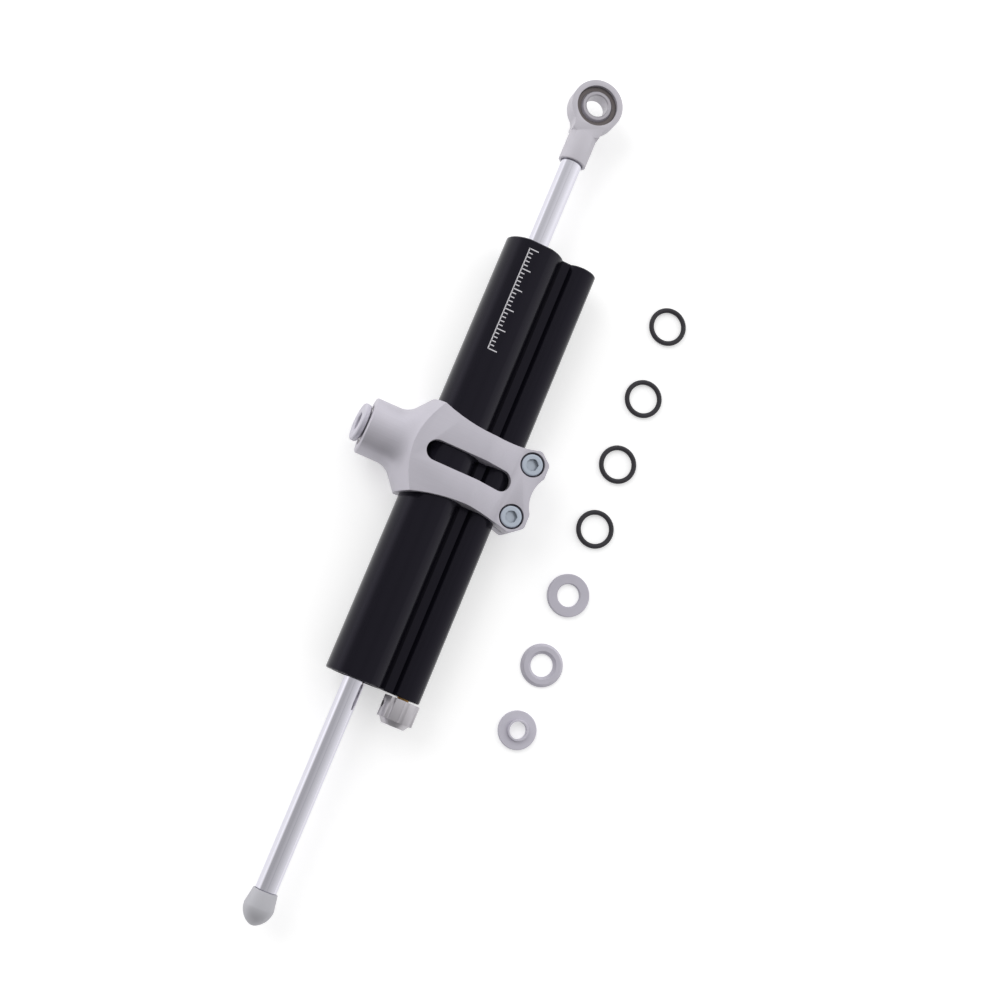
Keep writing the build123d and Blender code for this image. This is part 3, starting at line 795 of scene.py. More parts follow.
@dataclass
class Piece:
    """A finished piece: its mesh, finish and body.

    Attributes:
        name: the piece's name.
        body: the CAD body that it rides on.
        finish: its surface.
        replaces: the CAD nodes that it stands for.
        crease: the least angle in degrees that shades as an edge.
    """

    name: str
    body: str
    finish: Finish
    replaces: tuple[str, ...] = ()
    crease: float = 28.0

    def make(self, solid: Solid) -> None:
        """Turns a solid into the piece's object, in place and riding on its body.

        Args:
            solid: the solid, used up.
        """
        mesh = solid.mesh(self.name)
        mesh.shade_smooth()
        mesh.set_sharp_from_angle(angle=math.radians(self.crease))
        made = bpy.data.objects.new(self.name, mesh)
        bpy.context.scene.collection.objects.link(made)
        mesh.materials.append(self.finish.material())
        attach(made, self.body)
        if self.replaces:
            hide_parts(*self.replaces)
        log.info("piece %s: %d faces on %s", self.name, len(mesh.polygons), self.body)


@dataclass(frozen=True)
class Span:
    """A CAD node's box at rest.

    Attributes:
        low: its corner with the least X, Y and Z.
        high: its corner with the greatest ones.
    """

    low: Vector
    high: Vector

    @classmethod
    def of(cls, node: str) -> "Span":
        """Reads the box from the frame."""
        return cls(*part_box(node))

    @property
    def middle(self) -> Vector:
        """The centre of the box."""
        return (self.low + self.high) / 2.0

    @property
    def size(self) -> Vector:
        """The box's three sizes."""
        return self.high - self.low


# Finishes

class Palette:
    """Every finish of the damper and its kit."""

    black = Grained("body_black", "black_anodised", (0.0032, 0.0029, 0.0050), roughness=0.20,
                    specular=0.25, gloss_tint=(0.82, 0.77, 1.0), variation=0.10, grain_scale=5200.0,
                    depth=1.5e-6)
    clamp = Brushed("clamp_satin", "clamp_aluminium", (0.565, 0.545, 0.605), metallic=0.5, roughness=0.46,
                    variation=0.13, lines=Wave.ALONG_Y)
    rod = Finish("rod_mirror", "rod_chrome", (0.70, 0.69, 0.76), metallic=1.0, roughness=0.07,
                 variation=0.02)
    eye = Grained("eye_satin", "eye_aluminium", (0.575, 0.555, 0.605), metallic=0.4, roughness=0.48,
                  variation=0.04, depth=3e-6)
    cap = Grained("cap_matte", "cap_aluminium", (0.53, 0.527, 0.562), metallic=0.4, roughness=0.55,
                  variation=0.05, depth=3e-6)
    knob = Brushed("knob_satin", "knob_aluminium", (0.52, 0.50, 0.53), metallic=0.75, roughness=0.33,
                   variation=0.05, lines=Wave.ALONG_X)
    # The screws get painted shade on their sockets' walls, between these two heights.
    screw = SocketShaded("screw_zinc", "zinc_screw", (0.55, 0.61, 0.70), metallic=0.85, roughness=0.28,
                 variation=0.08, depth=3e-6, top=Span.of("clamp_screws").high.z - 0.5 * MM,
                 floor=Span.of("clamp_screws").high.z - 3.0 * MM)
    rubber = Grained("loose_rubber", "ring_rubber", (0.036, 0.034, 0.04), roughness=0.62, specular=0.35)
    collar = Grained("washer_steel", "collar_steel", (0.55, 0.53, 0.60), metallic=0.3, roughness=0.5,
                     variation=0.07, depth=8e-6)
    bush = Grained("bush_steel", "collar_steel", (0.60, 0.58, 0.655), metallic=0.3, roughness=0.5,
                   variation=0.05, depth=4e-6)
    seal = Grained("packing_rubber", "seal_rubber", (0.02, 0.02, 0.022), roughness=0.5)
    head = Turned("head_turned", "head_aluminium", (0.40, 0.40, 0.41), metallic=0.8, roughness=0.4,
                  axis=0)
    bronze = Turned("bearing_bronze", "bush_bronze", (0.42, 0.28, 0.14), metallic=0.8, roughness=0.45,
                    axis=0)
    steel = Grained("sprung_steel", "spring_steel", (0.20, 0.20, 0.21), metallic=0.9, roughness=0.35,
                    depth=2e-6)
    # A brass tone darkened as painted shade, for the spindle that lies in the shade of the gap behind the
    # knob.
    brass = Turned("adjuster_brass_with_painted_shade", "brass", (0.36, 0.21, 0.07), metallic=0.9, roughness=0.3, axis=0,
                   centre=(0.0, -0.0233, 0.0))
    foam = Grained("foam_black", "foam", (0.05, 0.05, 0.05), roughness=0.9, grain_scale=900.0,
                   depth=6e-5)
    band = Finish("band_bronze_filled", "band_plastic", (0.12, 0.08, 0.05), roughness=0.45)
    race = Turned("race_dark", "bearing_race", (0.17, 0.15, 0.15), metallic=0.7, roughness=0.38)
    ball = Turned("ball_polished", "bearing_ball", (0.47, 0.45, 0.49), metallic=0.6, roughness=0.3,
                  ring_pitch=0.7e-3, depth=2.5e-5)
    mark = Finish("mark_pale", "", (0.62, 0.61, 0.64), roughness=0.5, variation=0.02)


# Sub-assemblies

@dataclass
class DamperBody:
    """The black two-lobed extrusion.

    Attributes:
        tube: its CAD box.
        small_lobe: the small lobe's radius.
        web: half of the web's height.
        bore: the main bore's radius.
        bypass: the small bore's radius.
        edge: the width of the end's chamfer.
    """

    tube: Span = field(default_factory=lambda: Span.of("damper_body"))
    small_lobe: float = 7.4 * MM
    web: float = 4.2 * MM
    bore: float = 11.0 * MM
    bypass: float = 4.0 * MM
    edge: float = 0.5 * MM

    rim_degrees = 40.0

    @property
    def lobe(self) -> float:
        """The main lobe's radius."""
        return self.tube.high.y

    @property
    def spacing(self) -> float:
        """The distance between the lobes' axes."""
        return -self.tube.low.y - self.small_lobe

    def draw(self, pen: Outline, grow: float = 0.0) -> None:
        """Draws the two-lobed outline, all round larger by grow.

        Args:
            pen: draws it.
            grow: how far it lies outside the body's wall.
        """
        main, small = self.lobe + grow, self.small_lobe + grow
        top, web = self.tube.high.z + grow, self.web + grow
        flat = math.sqrt(main ** 2 - top ** 2)
        upper = math.degrees(math.atan2(top, flat))
        neck = 180.0 - math.degrees(math.asin(web / main))
        small_neck = math.degrees(math.asin(web / small))
        reach = math.sqrt(small ** 2 - web ** 2) - self.spacing
        pen.start((flat, -top)).arc((0.0, 0.0), 2.0 * upper).line((-flat, top))
        pen.arc((0.0, 0.0), neck - (180.0 - upper)).line((reach, web))
        pen.arc((-self.spacing, 0.0), 360.0 - 2.0 * small_neck)
        pen.line((-math.sqrt(main ** 2 - web ** 2), -web))
        pen.arc((0.0, 0.0), neck - (180.0 - upper))

    def form(self) -> Solid:
        """The extrusion with its two bores and chamfered ends.

        Returns:
            The body.
        """
        holes = (((0.0, 0.0), self.bore), ((-self.spacing, 0.0), self.bypass))
        ends = (self.tube.low.x, self.tube.high.x)
        made = Solid.plate(self.draw, holes, ends[1] - ends[0],
                           Matrix.Translation((ends[0], 0.0, 0.0)) @ ACROSS)

        def on_rim(edge: bmesh.types.BMEdge) -> bool:
            """Whether an edge runs round an end."""
            return any(all(abs(v.co.x - end) < WELD for v in edge.verts) for end in ends)

        return made.softened(self.edge, segments=1, degrees=self.rim_degrees, test=on_rim)

    def build(self) -> None:
        """Makes the body."""
        Piece("body_tube", "damper_body", Palette.black, ("damper_body",)).make(self.form())


@dataclass
class Rod:
    """The chromed rod and its domed cap.

    Attributes:
        bar: the rod's CAD box.
        cap: the cap's CAD box.
        chamfer: the chamfer of the rod's shoulder.
        cap_rim: the cap's radius at its rim.
        rim_chamfer: the chamfer of that rim.
        widest: how far from its rim the cap is widest.
        dome_middle: a point on the dome, as its distance from the rim and its radius.
        end_radius: the radius of the small flat on the dome's end.
    """

    bar: Span = field(default_factory=lambda: Span.of("piston_rod"))
    cap: Span = field(default_factory=lambda: Span.of("end_cap"))
    chamfer: float = 0.4 * MM
    cap_rim: float = 5.65 * MM
    rim_chamfer: float = 0.15 * MM
    widest: float = 7.0 * MM
    dome_middle: Point = (12.88 * MM, 4.5 * MM)
    end_radius: float = 1.2 * MM

    cap_crease = 35.0

    def bar_form(self) -> Solid:
        """The rod between the cap and the inside of the shank.

        Returns:
            The rod.
        """
        radius, near, far = self.bar.high.z, self.cap.high.x, self.bar.high.x

        def profile(pen: Outline) -> None:
            """The rod's profile from end to end."""
            pen.start((near, 0.0)).line((near, radius - self.chamfer)).line((near + self.chamfer, radius))
            pen.line((far - self.chamfer, radius)).line((far, radius - self.chamfer)).line((far, 0.0))

        return Solid.turned(profile)

    def cap_form(self) -> Solid:
        """The cap, wider away from its rim and domed at its end.

        Returns:
            The cap.
        """
        rim, end, radius = self.cap.high.x, self.cap.low.x, self.cap.high.z
        chamfer = self.rim_chamfer

        def profile(pen: Outline) -> None:
            """The cap's profile from the dome's pole to the rim.

            Args:
                pen: draws it.
            """
            pen.start((end, 0.0)).line((end, self.end_radius))
            pen.through((rim - self.dome_middle[0], self.dome_middle[1]), (rim - self.widest, radius))
            pen.line((rim - chamfer, self.cap_rim)).line((rim, self.cap_rim - chamfer)).line((rim, 0.0))

        return Solid.turned(profile)

    def build(self) -> None:
        """Makes the rod and the cap."""
        Piece("rod_bar", "rod", Palette.rod, ("piston_rod",)).make(self.bar_form())
        Piece("rod_cap", "rod", Palette.cap, ("end_cap",),
              crease=self.cap_crease).make(self.cap_form())


@dataclass
class SphericalBearing:
    """A ball in its ring, made about the origin with the bore along X.

    Attributes:
        ball_radius: the sphere's radius.
        ball_width: the ball's width.
        bore: the bore's radius.
        mouth: the bore's chamfer.
        race_radius: the ring's outer radius.
        race_width: the ring's width.
        race_edge: the chamfer of its outer edges.
        gap: the space between ball and ring.
    """

    ball_radius: float = 8.0 * MM
    ball_width: float = 9.0 * MM
    bore: float = 5.0 * MM
    mouth: float = 0.4 * MM
    race_radius: float = 9.5 * MM
    race_width: float = 6.0 * MM
    race_edge: float = 0.3 * MM
    gap: float = 0.05 * MM

    def ball_form(self) -> Solid:
        """The ball with flat faces and a chamfered bore.

        Returns:
            The ball.
        """
        half, radius = self.ball_width / 2.0, self.ball_radius
        tilt = math.degrees(math.asin(half / radius))
        rim = math.sqrt(radius ** 2 - half ** 2)

        def profile(pen: Outline) -> None:
            """The ball's section: bore, chamfers, faces and sphere.

            Args:
                pen: draws it.
            """
            pen.start((-half, self.bore + self.mouth)).line((-half, rim))
            pen.arc((0.0, 0.0), -2.0 * tilt)
            pen.line((half, self.bore + self.mouth)).line((half - self.mouth, self.bore))
            pen.line((self.mouth - half, self.bore))

        return Solid.turned(profile, closed=True)

    def race_form(self) -> Solid:
        """The ring with its hollow sphere.

        Returns:
            The ring.
        """
        half, radius, edge = self.race_width / 2.0, self.ball_radius + self.gap, self.race_edge
        tilt = math.degrees(math.asin(half / radius))
        rim = math.sqrt(radius ** 2 - half ** 2)

        def profile(pen: Outline) -> None:
            """The ring's section: inner sphere, faces and outer wall.

            Args:
                pen: draws it.
            """
            pen.start((-half, rim)).arc((0.0, 0.0), -2.0 * tilt)
            pen.line((half, self.race_radius - edge)).line((half - edge, self.race_radius))
            pen.line((edge - half, self.race_radius))
            pen.line((-half, self.race_radius - edge))

        return Solid.turned(profile, closed=True)


@dataclass
class RodEye:
    """The eye on the rod's end with its bearing.

    Attributes:
        housing: the housing's CAD box.
        half_thickness: half of the eye's thickness.
        shank_flat_end: where the milled flats end, from the eye's centre.
        taper_start: where the blank's cone begins, from the eye's centre.
        neck: the radius of the fillets between eye and shank.
        mouth: the chamfer of the shank's end.
        seat: the radius of the ring's seat.
        soft_edge: the rounding of the edges.
        rod_gap: the play around the rod.
        rod_hole_depth: how deep that play reaches into the shank.
        bearing: the ball and ring.
    """

    housing: Span = field(default_factory=lambda: Span.of("eye_housing"))
    half_thickness: float = 5.0 * MM
    shank_flat_end: float = 14.9 * MM
    taper_start: float = 9.5 * MM
    neck: float = 5.0 * MM
    mouth: float = 0.3 * MM
    seat: float = 9.53 * MM
    soft_edge: float = 0.35 * MM
    rod_gap: float = 0.35 * MM
    rod_hole_depth: float = 2.0 * MM
    bearing: SphericalBearing = field(default_factory=SphericalBearing)

    sharp_degrees = 35.0

    @property
    def radius(self) -> float:
        """The eye's outer radius."""
        return self.housing.high.x

    @property
    def shank(self) -> float:
        """The shank's radius."""
        return self.housing.high.z

    def draw_plan(self, pen: Outline) -> None:
        """Draws the eye and the flat neck from above.

        Args:
            pen: draws it.
        """
        offset = self.shank + self.neck
        reach = math.sqrt((self.radius + self.neck) ** 2 - offset ** 2)
        swing = math.degrees(math.atan2(reach, offset))
        pen.start((-self.shank_flat_end, -self.shank)).line((-reach, -self.shank))
        pen.arc((-reach, -offset), -swing)
        pen.arc((0.0, 0.0), 2.0 * (90.0 + swing))
        pen.arc((-reach, offset), -swing)
        pen.line((-self.shank_flat_end, self.shank))

    def housing_form(self) -> Solid:
        """The eye, its neck and its round shank in one piece.

        Returns:
            The housing.
        """
        half = self.half_thickness
        lay = Matrix.Translation((0.0, 0.0, -half)) @ LEVEL
        eye = Solid.plate(self.draw_plan, (), 2.0 * half, lay)
        wide = self.radius + half

        def envelope(pen: Outline) -> None:
            """The turned blank that the neck is milled from.

            Args:
                pen: draws it.
            """
            behind = -self.shank_flat_end - OVERRUN
            pen.start((behind, 0.0)).line((behind, self.shank))
            pen.line((-self.shank_flat_end, self.shank)).line((-self.taper_start, wide))
            pen.line((wide, wide)).line((wide, 0.0))

        eye = eye.cut(Solid.turned(envelope), operation="INTERSECT")
        start, end = self.housing.low.x, -self.shank_flat_end

        def sleeve(pen: Outline) -> None:
            """The shank's profile with its chamfered mouth."""
            pen.start((start, 0.0)).line((start, self.shank - self.mouth))
            pen.line((start + self.mouth, self.shank)).line((end, self.shank)).line((end, 0.0))

        eye = eye.cut(Solid.turned(sleeve), operation="UNION")
        bore = Solid.cylinder(self.seat, -2.0 * half, 2.0 * half, FINE_STEPS).placed(STANDING)
        rod_hole = Solid.cylinder(Span.of("piston_rod").high.z + self.rod_gap, start - OVERRUN,
                                  start + self.rod_hole_depth)
        return eye.cut(bore, rod_hole).softened(self.soft_edge, segments=3, degrees=self.sharp_degrees)

    def build(self) -> None:
        """Makes the housing, the ring and the ball."""
        Piece("eye_body", "rod", Palette.eye, ("eye_housing",)).make(self.housing_form())
        Piece("eye_ring", "rod", Palette.race, ("eye_race",)).make(
            self.bearing.race_form().placed(STANDING))
        Piece("eye_ball_bored", "eye_ball", Palette.ball, ("eye_ball",)).make(
            self.bearing.ball_form().placed(STANDING))


@dataclass
class Collar:
    """A flanged collar, made with its axis along X and the flange's free face at the far end.

    Attributes:
        flange: the flange's radius.
        thickness: the flange's thickness.
        spigot: the spigot's radius.
        length: the spigot's length.
        bore: the bore's radius.
        edge: the width of its chamfers.
    """

    flange: float
    thickness: float
    spigot: float
    length: float
    bore: float
    edge: float = 0.35 * MM

    def form(self) -> Solid:
        """The collar with its spigot end at X = 0.

        Returns:
            The collar.
        """
        top = self.length + self.thickness

        def profile(pen: Outline) -> None:
            """The section of one side.

            Args:
                pen: draws it.
            """
            edge = self.edge
            pen.start((0.0, self.bore)).line((0.0, self.spigot - edge)).line((edge, self.spigot))
            pen.line((self.length, self.spigot)).line((self.length, self.flange - edge))
            pen.line((self.length + edge, self.flange)).line((top - edge, self.flange))
            pen.line((top, self.flange - edge)).line((top, self.bore + edge))
            pen.line((top - edge, self.bore))

        return Solid.turned(profile, closed=True)


@dataclass
class Clamp:
    """The clamp with its window, split ears, screws and boss.

    Attributes:
        body: the body that it grips.
        blank: the clamp's CAD box.
        ring: the boss bearing ring's CAD box.
        screws: the screws' CAD box.
        corner: where the flare meets the waist's arc, seen from above.
        waist: the arc's point nearest to the middle.
        ear_side: where the arc ends at an ear's corner.
        ear_end_half: half of the width of the ears' end.
        notch_half: half of the width of the notch between the ears.
        notch_y: the notch's deepest place.
        ear_rounding: the roundings of the ears' outer corners and of the notch's corners.
        corner_segments: how many faces those roundings have.
        flare_y: where the flare is as wide as the clamp.
        flare_back: where the flare's turned form ends inside the plate.
        flare_fillet: the radius of the fillet between boss and flare.
        flare_angle: the flare's slope in degrees.
        flare_lag: how much later the flare gains height than width.
        flare_steps: into how many parts its profile is divided.
        flare_corner: the rounding of the corner between flare and flank.
        boss_radius: the boss's radius.
        boss_edge: the chamfer of its end.
        ear_half_height: half of the ears' height.
        crease_y: where the plate starts to slope down to the ears.
        ear_flat_y: where that slope ends.
        slot_width: the window's width.
        slot_span: where the window starts and ends.
        split: the width of the slit between the ears' halves.
        fit: the play around the body.
        screw_hole: the radius of the screws' holes.
        counterbore: the radius of the pockets for the screws' heads.
        counterbore_depth: the depth of those pockets.
        bolt_pocket: the radius of the pocket behind the ball.
        seat: the radius of the ring's seat.
        soft_edge: the rounding of all other edges.
    """

    body: DamperBody
    blank: Span = field(default_factory=lambda: Span.of("clamp"))
    ring: Span = field(default_factory=lambda: Span.of("boss_race"))
    screws: Span = field(default_factory=lambda: Span.of("clamp_screws"))
    corner: Point = (20.85 * MM, 11.6 * MM)
    waist: Point = (16.7 * MM, -12.5 * MM)
    ear_side: Point = (20.0 * MM, -37.0 * MM)
    ear_end_half: float = 15.4 * MM
    notch_half: float = 8.7 * MM
    notch_y: float = -39.9 * MM
    ear_rounding: Point = (1.05 * MM, 0.62 * MM)
    corner_segments: int = 8
    flare_y: float = 16.76 * MM
    flare_back: float = 11.5 * MM
    flare_fillet: float = 9.1 * MM
    flare_angle: float = 50.9
    flare_lag: float = 3.4 * MM
    flare_steps: int = 28
    flare_corner: float = 0.9 * MM
    boss_radius: float = 13.2 * MM
    boss_edge: float = 0.6 * MM
    ear_half_height: float = 10.0 * MM
    crease_y: float = -14.0 * MM
    ear_flat_y: float = -28.0 * MM
    slot_width: float = 9.6 * MM
    slot_span: Point = (-29.3 * MM, 12.5 * MM)
    split: float = 1.5 * MM
    fit: float = 0.05 * MM
    screw_hole: float = 3.3 * MM
    counterbore: float = 5.7 * MM
    counterbore_depth: float = 6.3 * MM
    bolt_pocket: float = 8.0 * MM
    seat: float = 9.53 * MM
    soft_edge: float = 0.32 * MM

    corner_degrees = 10.0
    sharp_degrees = 24.0
    corner_reach = 0.01 * MM
    edge_reach = 0.05 * MM

    def draw_plan(self, pen: Outline) -> None:
        """Draws the outline from above, anticlockwise from the boss's right corner.

        Args:
            pen: draws it.
        """
        flare, end, front = self.blank.size.x / 2.0, self.blank.high.y, self.blank.low.y
        pen.start((flare, end)).line((-flare, end)).line((-flare, self.flare_y))
        pen.line((-self.corner[0], self.corner[1]))
        pen.through((-self.waist[0], self.waist[1]), (-self.ear_side[0], self.ear_side[1]))
        pen.line((-self.ear_end_half, front)).line((-self.notch_half, front))
        pen.through((0.0, self.notch_y), (self.notch_half, front))
        pen.line((self.ear_end_half, front)).line(self.ear_side)
        pen.through(self.waist, self.corner).line((flare, self.flare_y))

    def draw_side(self, pen: Outline) -> None:
        """Draws the profile from the side, with the ears thinner than the plate.

        Args:
            pen: draws it.
        """
        top, ear, end = self.blank.high.z, self.ear_half_height, self.blank.high.y + OVERRUN
        front = self.blank.low.y - OVERRUN
        pen.start((end, -top)).line((end, top)).line((self.crease_y, top)).line((self.ear_flat_y, ear))
        pen.line((front, ear)).line((front, -ear)).line((self.ear_flat_y, -ear))
        pen.line((self.crease_y, -top))

    @property
    def flare_places(self) -> Point:
        """Where the flare's fillet starts at the boss, and where it becomes a cone.

        Returns:
            The places along Y.
        """
        turn = math.radians(self.flare_angle)
        cone_radius = self.boss_radius + self.flare_fillet * (1.0 - math.cos(turn))
        cone = self.flare_y + (self.blank.size.x / 2.0 - cone_radius) / math.tan(turn)
        return cone + self.flare_fillet * math.sin(turn), cone

    def flare_radius(self, y: float) -> float:
        """The flare's half width at a place along Y: the boss, a hollow fillet, then a cone.

        Args:
            y: the place along Y.

        Returns:
            The radius.
        """
        start, cone = self.flare_places
        if y >= start:
            return self.boss_radius
        if y >= cone:
            sag = self.flare_fillet - math.sqrt(self.flare_fillet ** 2 - (start - y) ** 2)
            return self.boss_radius + sag
        return self.blank.size.x / 2.0 + (self.flare_y - y) * math.tan(math.radians(self.flare_angle))

    def draw_turning(self, pen: Outline) -> None:
        """Draws the profile of the boss and its flare.

        Args:
            pen: draws it.
        """
        front, far, end = self.blank.low.y - OVERRUN, 2.0 * self.blank.size.x, self.blank.high.y
        start = self.flare_places[0]
        pen.start((front, 0.0)).line((front, far)).line((self.flare_back, far))
        for step in range(self.flare_steps + 1):
            y = self.flare_back + (start - self.flare_back) * step / self.flare_steps
            pen.line((y, self.flare_radius(y)))
        pen.line((end - self.boss_edge, self.boss_radius))
        pen.line((end, self.boss_radius - self.boss_edge)).line((end, 0.0))

    def turning_form(self) -> Solid:
        """The boss and its flare, whose oval sections gain height later than width.

        Returns:
            The form.
        """
        made = Solid.turned(self.draw_turning, 2 * FINE_STEPS).placed(ALONG_BOSS)
        for vert in made.bm.verts:
            y = vert.co.y
            vert.co.z *= self.flare_radius(y + self.flare_lag) / self.flare_radius(y)
        return made

    def plan_form(self, half_height: float) -> Solid:
        """The plate with the outline from above, its ears' corners rounded.

        Args:
            half_height: half of the plate's height.

        Returns:
            The plate.
        """
        made = Solid.plate(self.draw_plan, (), 2.0 * half_height,
                           Matrix.Translation((0.0, 0.0, -half_height)) @ LEVEL)
        wide, narrow = self.ear_rounding
        front = self.blank.low.y
        corners = ((self.ear_side, wide), ((self.ear_end_half, front), wide),
                   ((self.notch_half, front), narrow))
        for spot, width in corners:
            made.softened(width, segments=self.corner_segments, degrees=self.corner_degrees,
                          test=partial(self.at_corner, spot))
        return made

    def at_corner(self, spot: Point, edge: bmesh.types.BMEdge) -> bool:
        """Whether an edge stands upright at a corner or at its mirror image.

        Args:
            spot: the corner, seen from above.
            edge: the edge.

        Returns:
            Whether it does.
        """
        corner = Vector(spot)
        return all((Vector((abs(v.co.x), v.co.y)) - corner).length < self.corner_reach
                   for v in edge.verts)

    def draw_slot(self, pen: Outline) -> None:
        """Draws the window with its round ends.

        Args:
            pen: draws it.
        """
        half = self.slot_width / 2.0
        low, high = self.slot_span[0] + half, self.slot_span[1] - half
        pen.start((half, low)).line((half, high)).arc((0.0, high), 180.0).line((-half, low))
        pen.arc((0.0, low), 180.0)

    def form(self) -> Solid:
        """The whole clamp.

        Returns:
            The clamp.
        """
        half_height, half_width = self.blank.high.z, self.blank.size.x
        across = Matrix.Translation((-half_width, 0.0, 0.0)) @ ACROSS
        made = self.plan_form(half_height)
        made = made.cut(Solid.plate(self.draw_side, (), 2.0 * half_width, across), self.turning_form(),
                        operation="INTERSECT")
        made.softened(self.flare_corner, segments=5, degrees=self.sharp_degrees,
                      test=self.on_flare_corner)
        passage = Solid.plate(lambda pen: self.body.draw(pen, self.fit), (), 2.0 * half_width, across)
        window = Solid.plate(self.draw_slot, (), 2.0 * (half_height + OVERRUN),
                             Matrix.Translation((0.0, 0.0, -half_height - OVERRUN)) @ LEVEL)
        slit = Solid.block((-half_width, self.blank.low.y - OVERRUN, -self.split / 2.0),
                           (half_width, -self.body.spacing, self.split / 2.0))
        seat_y, mouth_y = self.ring.low.y, self.blank.high.y + OVERRUN
        seat = Solid.cylinder(self.seat, seat_y, mouth_y, FINE_STEPS).placed(ALONG_BOSS)
        pocket = Solid.cylinder(self.bolt_pocket, 0.0, seat_y + OVERRUN, FINE_STEPS).placed(ALONG_BOSS)
        made = made.cut(passage, window, slit, seat, pocket, *self.screw_drills())
        made.softened(self.soft_edge, segments=3, degrees=self.sharp_degrees)
        return made.placed(Matrix.Translation((self.blank.middle.x, 0.0, 0.0)))

    def screw_drills(self) -> list[Solid]:
        """The forms that cut the screws' holes and the pockets for their heads.

        Returns:
            Three forms for each screw.
        """
        drills = []
        floor, top = self.ear_half_height - self.counterbore_depth, self.ear_half_height + OVERRUN
        for x, y in self.screw_places():
            upright = basis((0, 0, 1), (1, 0, 0), (x - self.blank.middle.x, y, 0.0))
            drills.append(Solid.cylinder(self.screw_hole, 0.0, top).placed(upright))
            drills.append(Solid.cylinder(self.counterbore, floor, top).placed(upright))
            drills.append(Solid.cylinder(self.screw_hole, -top, 0.0).placed(upright))
        return drills

    def on_flare_corner(self, edge: bmesh.types.BMEdge) -> bool:
        """Whether an edge runs down the corner between the flare and a flank.

        Args:
            edge: the edge.

        Returns:
            Whether it does.
        """
        reach, top = self.corner[0], self.blank.high.z
        outside = all(abs(v.co.x) > reach and v.co.y > self.corner[1] and abs(v.co.z) < top + WELD
                      for v in edge.verts)
        return outside and any(abs(v.co.z) < top - self.edge_reach for v in edge.verts)

    def screw_places(self) -> list[Point]:
        """Where the two screws stand, seen from above.

        Returns:
            The places in X and Y.
        """
        radius = self.screws.size.y / 2.0
        y = self.screws.middle.y
        return [(self.screws.low.x + radius, y), (self.screws.high.x - radius, y)]

    def build(self) -> None:
        """Makes the clamp and its screws."""
        Piece("clamp_body", "clamp", Palette.clamp, ("clamp",)).make(self.form())
        low, high = self.screws.low.z, self.screws.high.z
        made = Solid()
        for x, y in self.screw_places():
            screw = SocketScrew(self.screws.size.y / 2.0, high - low).form()
            part = screw.placed(basis((0, 0, 1), (1, 0, 0), (x, y, low))).mesh("screw")
            made.bm.from_mesh(part)
            bpy.data.meshes.remove(part)
        Piece("clamp_socket_screws", "clamp", Palette.screw, ("clamp_screws",)).make(made)


@dataclass
class SocketScrew:
    """A socket-head screw, its axis along X and its tip at X = 0.

    Attributes:
        head: the head's radius.
        length: the whole length.
        head_height: the head's height.
        shank: the shank's radius.
        across: the socket's width across flats.
        socket_depth: the socket's depth.
        edge: the rounding of the head's rim.
        countersink: the radius of the socket's mouth.
        turn: the socket's turn in degrees.
    """

    head: float
    length: float
    head_height: float = 6.0 * MM
    shank: float = 3.0 * MM
    across: float = 5.0 * MM
    socket_depth: float = 3.0 * MM
    edge: float = 0.7 * MM
    countersink: float = 2.75 * MM
    turn: float = 12.0

    def form(self) -> Solid:
        """The screw with its rounded head and six-sided socket.

        Returns:
            The screw.
        """
        under = self.length - self.head_height
        dip = self.countersink - self.across / 2.0

        def profile(pen: Outline) -> None:
            """The screw's profile from tip to head.

            Args:
                pen: draws it.
            """
            pen.start((0.0, 0.0)).line((0.0, self.shank)).line((under, self.shank))
            pen.line((under, self.head)).line((self.length - self.edge, self.head))
            pen.arc((self.length - self.edge, self.head - self.edge), -90.0)
            pen.line((self.length, self.countersink)).line((self.length - dip, self.across / 2.0))
            pen.line((self.length - dip, 0.0))

        made = Solid.turned(profile, SMALL_STEPS)
        socket = Solid()
        depth = self.socket_depth + OVERRUN
        radius = self.across / math.sqrt(3.0)
        middle = Vector((self.length - self.socket_depth + depth / 2.0, 0.0, 0.0))
        turn = Matrix.Rotation(math.radians(self.turn), 4, "Z")
        lay = Matrix.Translation(middle) @ STANDING @ turn
        bmesh.ops.create_cone(socket.bm, cap_ends=True, segments=6, radius1=radius, radius2=radius,
                              depth=depth, matrix=lay)
        return made.cut(socket.outward())


@dataclass
class BossBearing:
    """The bearing in the clamp's boss with its flanged collar, leaning as it rests.

    Attributes:
        ring: the bearing ring's CAD box.
        lean: the resting tilt in degrees.
        bearing: the ball and ring.
        collar: the flanged collar.
    """

    ring: Span = field(default_factory=lambda: Span.of("boss_race"))
    lean: float = 6.5
    bearing: SphericalBearing = field(default_factory=SphericalBearing)
    collar: Collar = field(default_factory=lambda: Collar(
        flange=8.9 * MM, thickness=2.8 * MM, spigot=4.97 * MM, length=8.6 * MM, bore=4.05 * MM,
        edge=0.5 * MM))

    def build(self) -> None:
        """Makes the ring, the ball and the collar."""
        centre = Matrix.Translation(self.ring.middle)
        along = centre @ ALONG_BOSS
        leaning = centre @ Matrix.Rotation(math.radians(self.lean), 4, "X") @ ALONG_BOSS
        back = Matrix.Translation((self.bearing.ball_width / 2.0 - self.collar.length, 0.0, 0.0))
        Piece("boss_ring", "clamp", Palette.race, ("boss_race",)).make(
            self.bearing.race_form().placed(along))
        Piece("boss_ball_bored", "boss_ball", Palette.ball, ("boss_ball",)).make(
            self.bearing.ball_form().placed(leaning))
        Piece("boss_bush", "boss_ball", Palette.bush, ("boss_collar",)).make(
            self.collar.form().placed(leaning @ back))


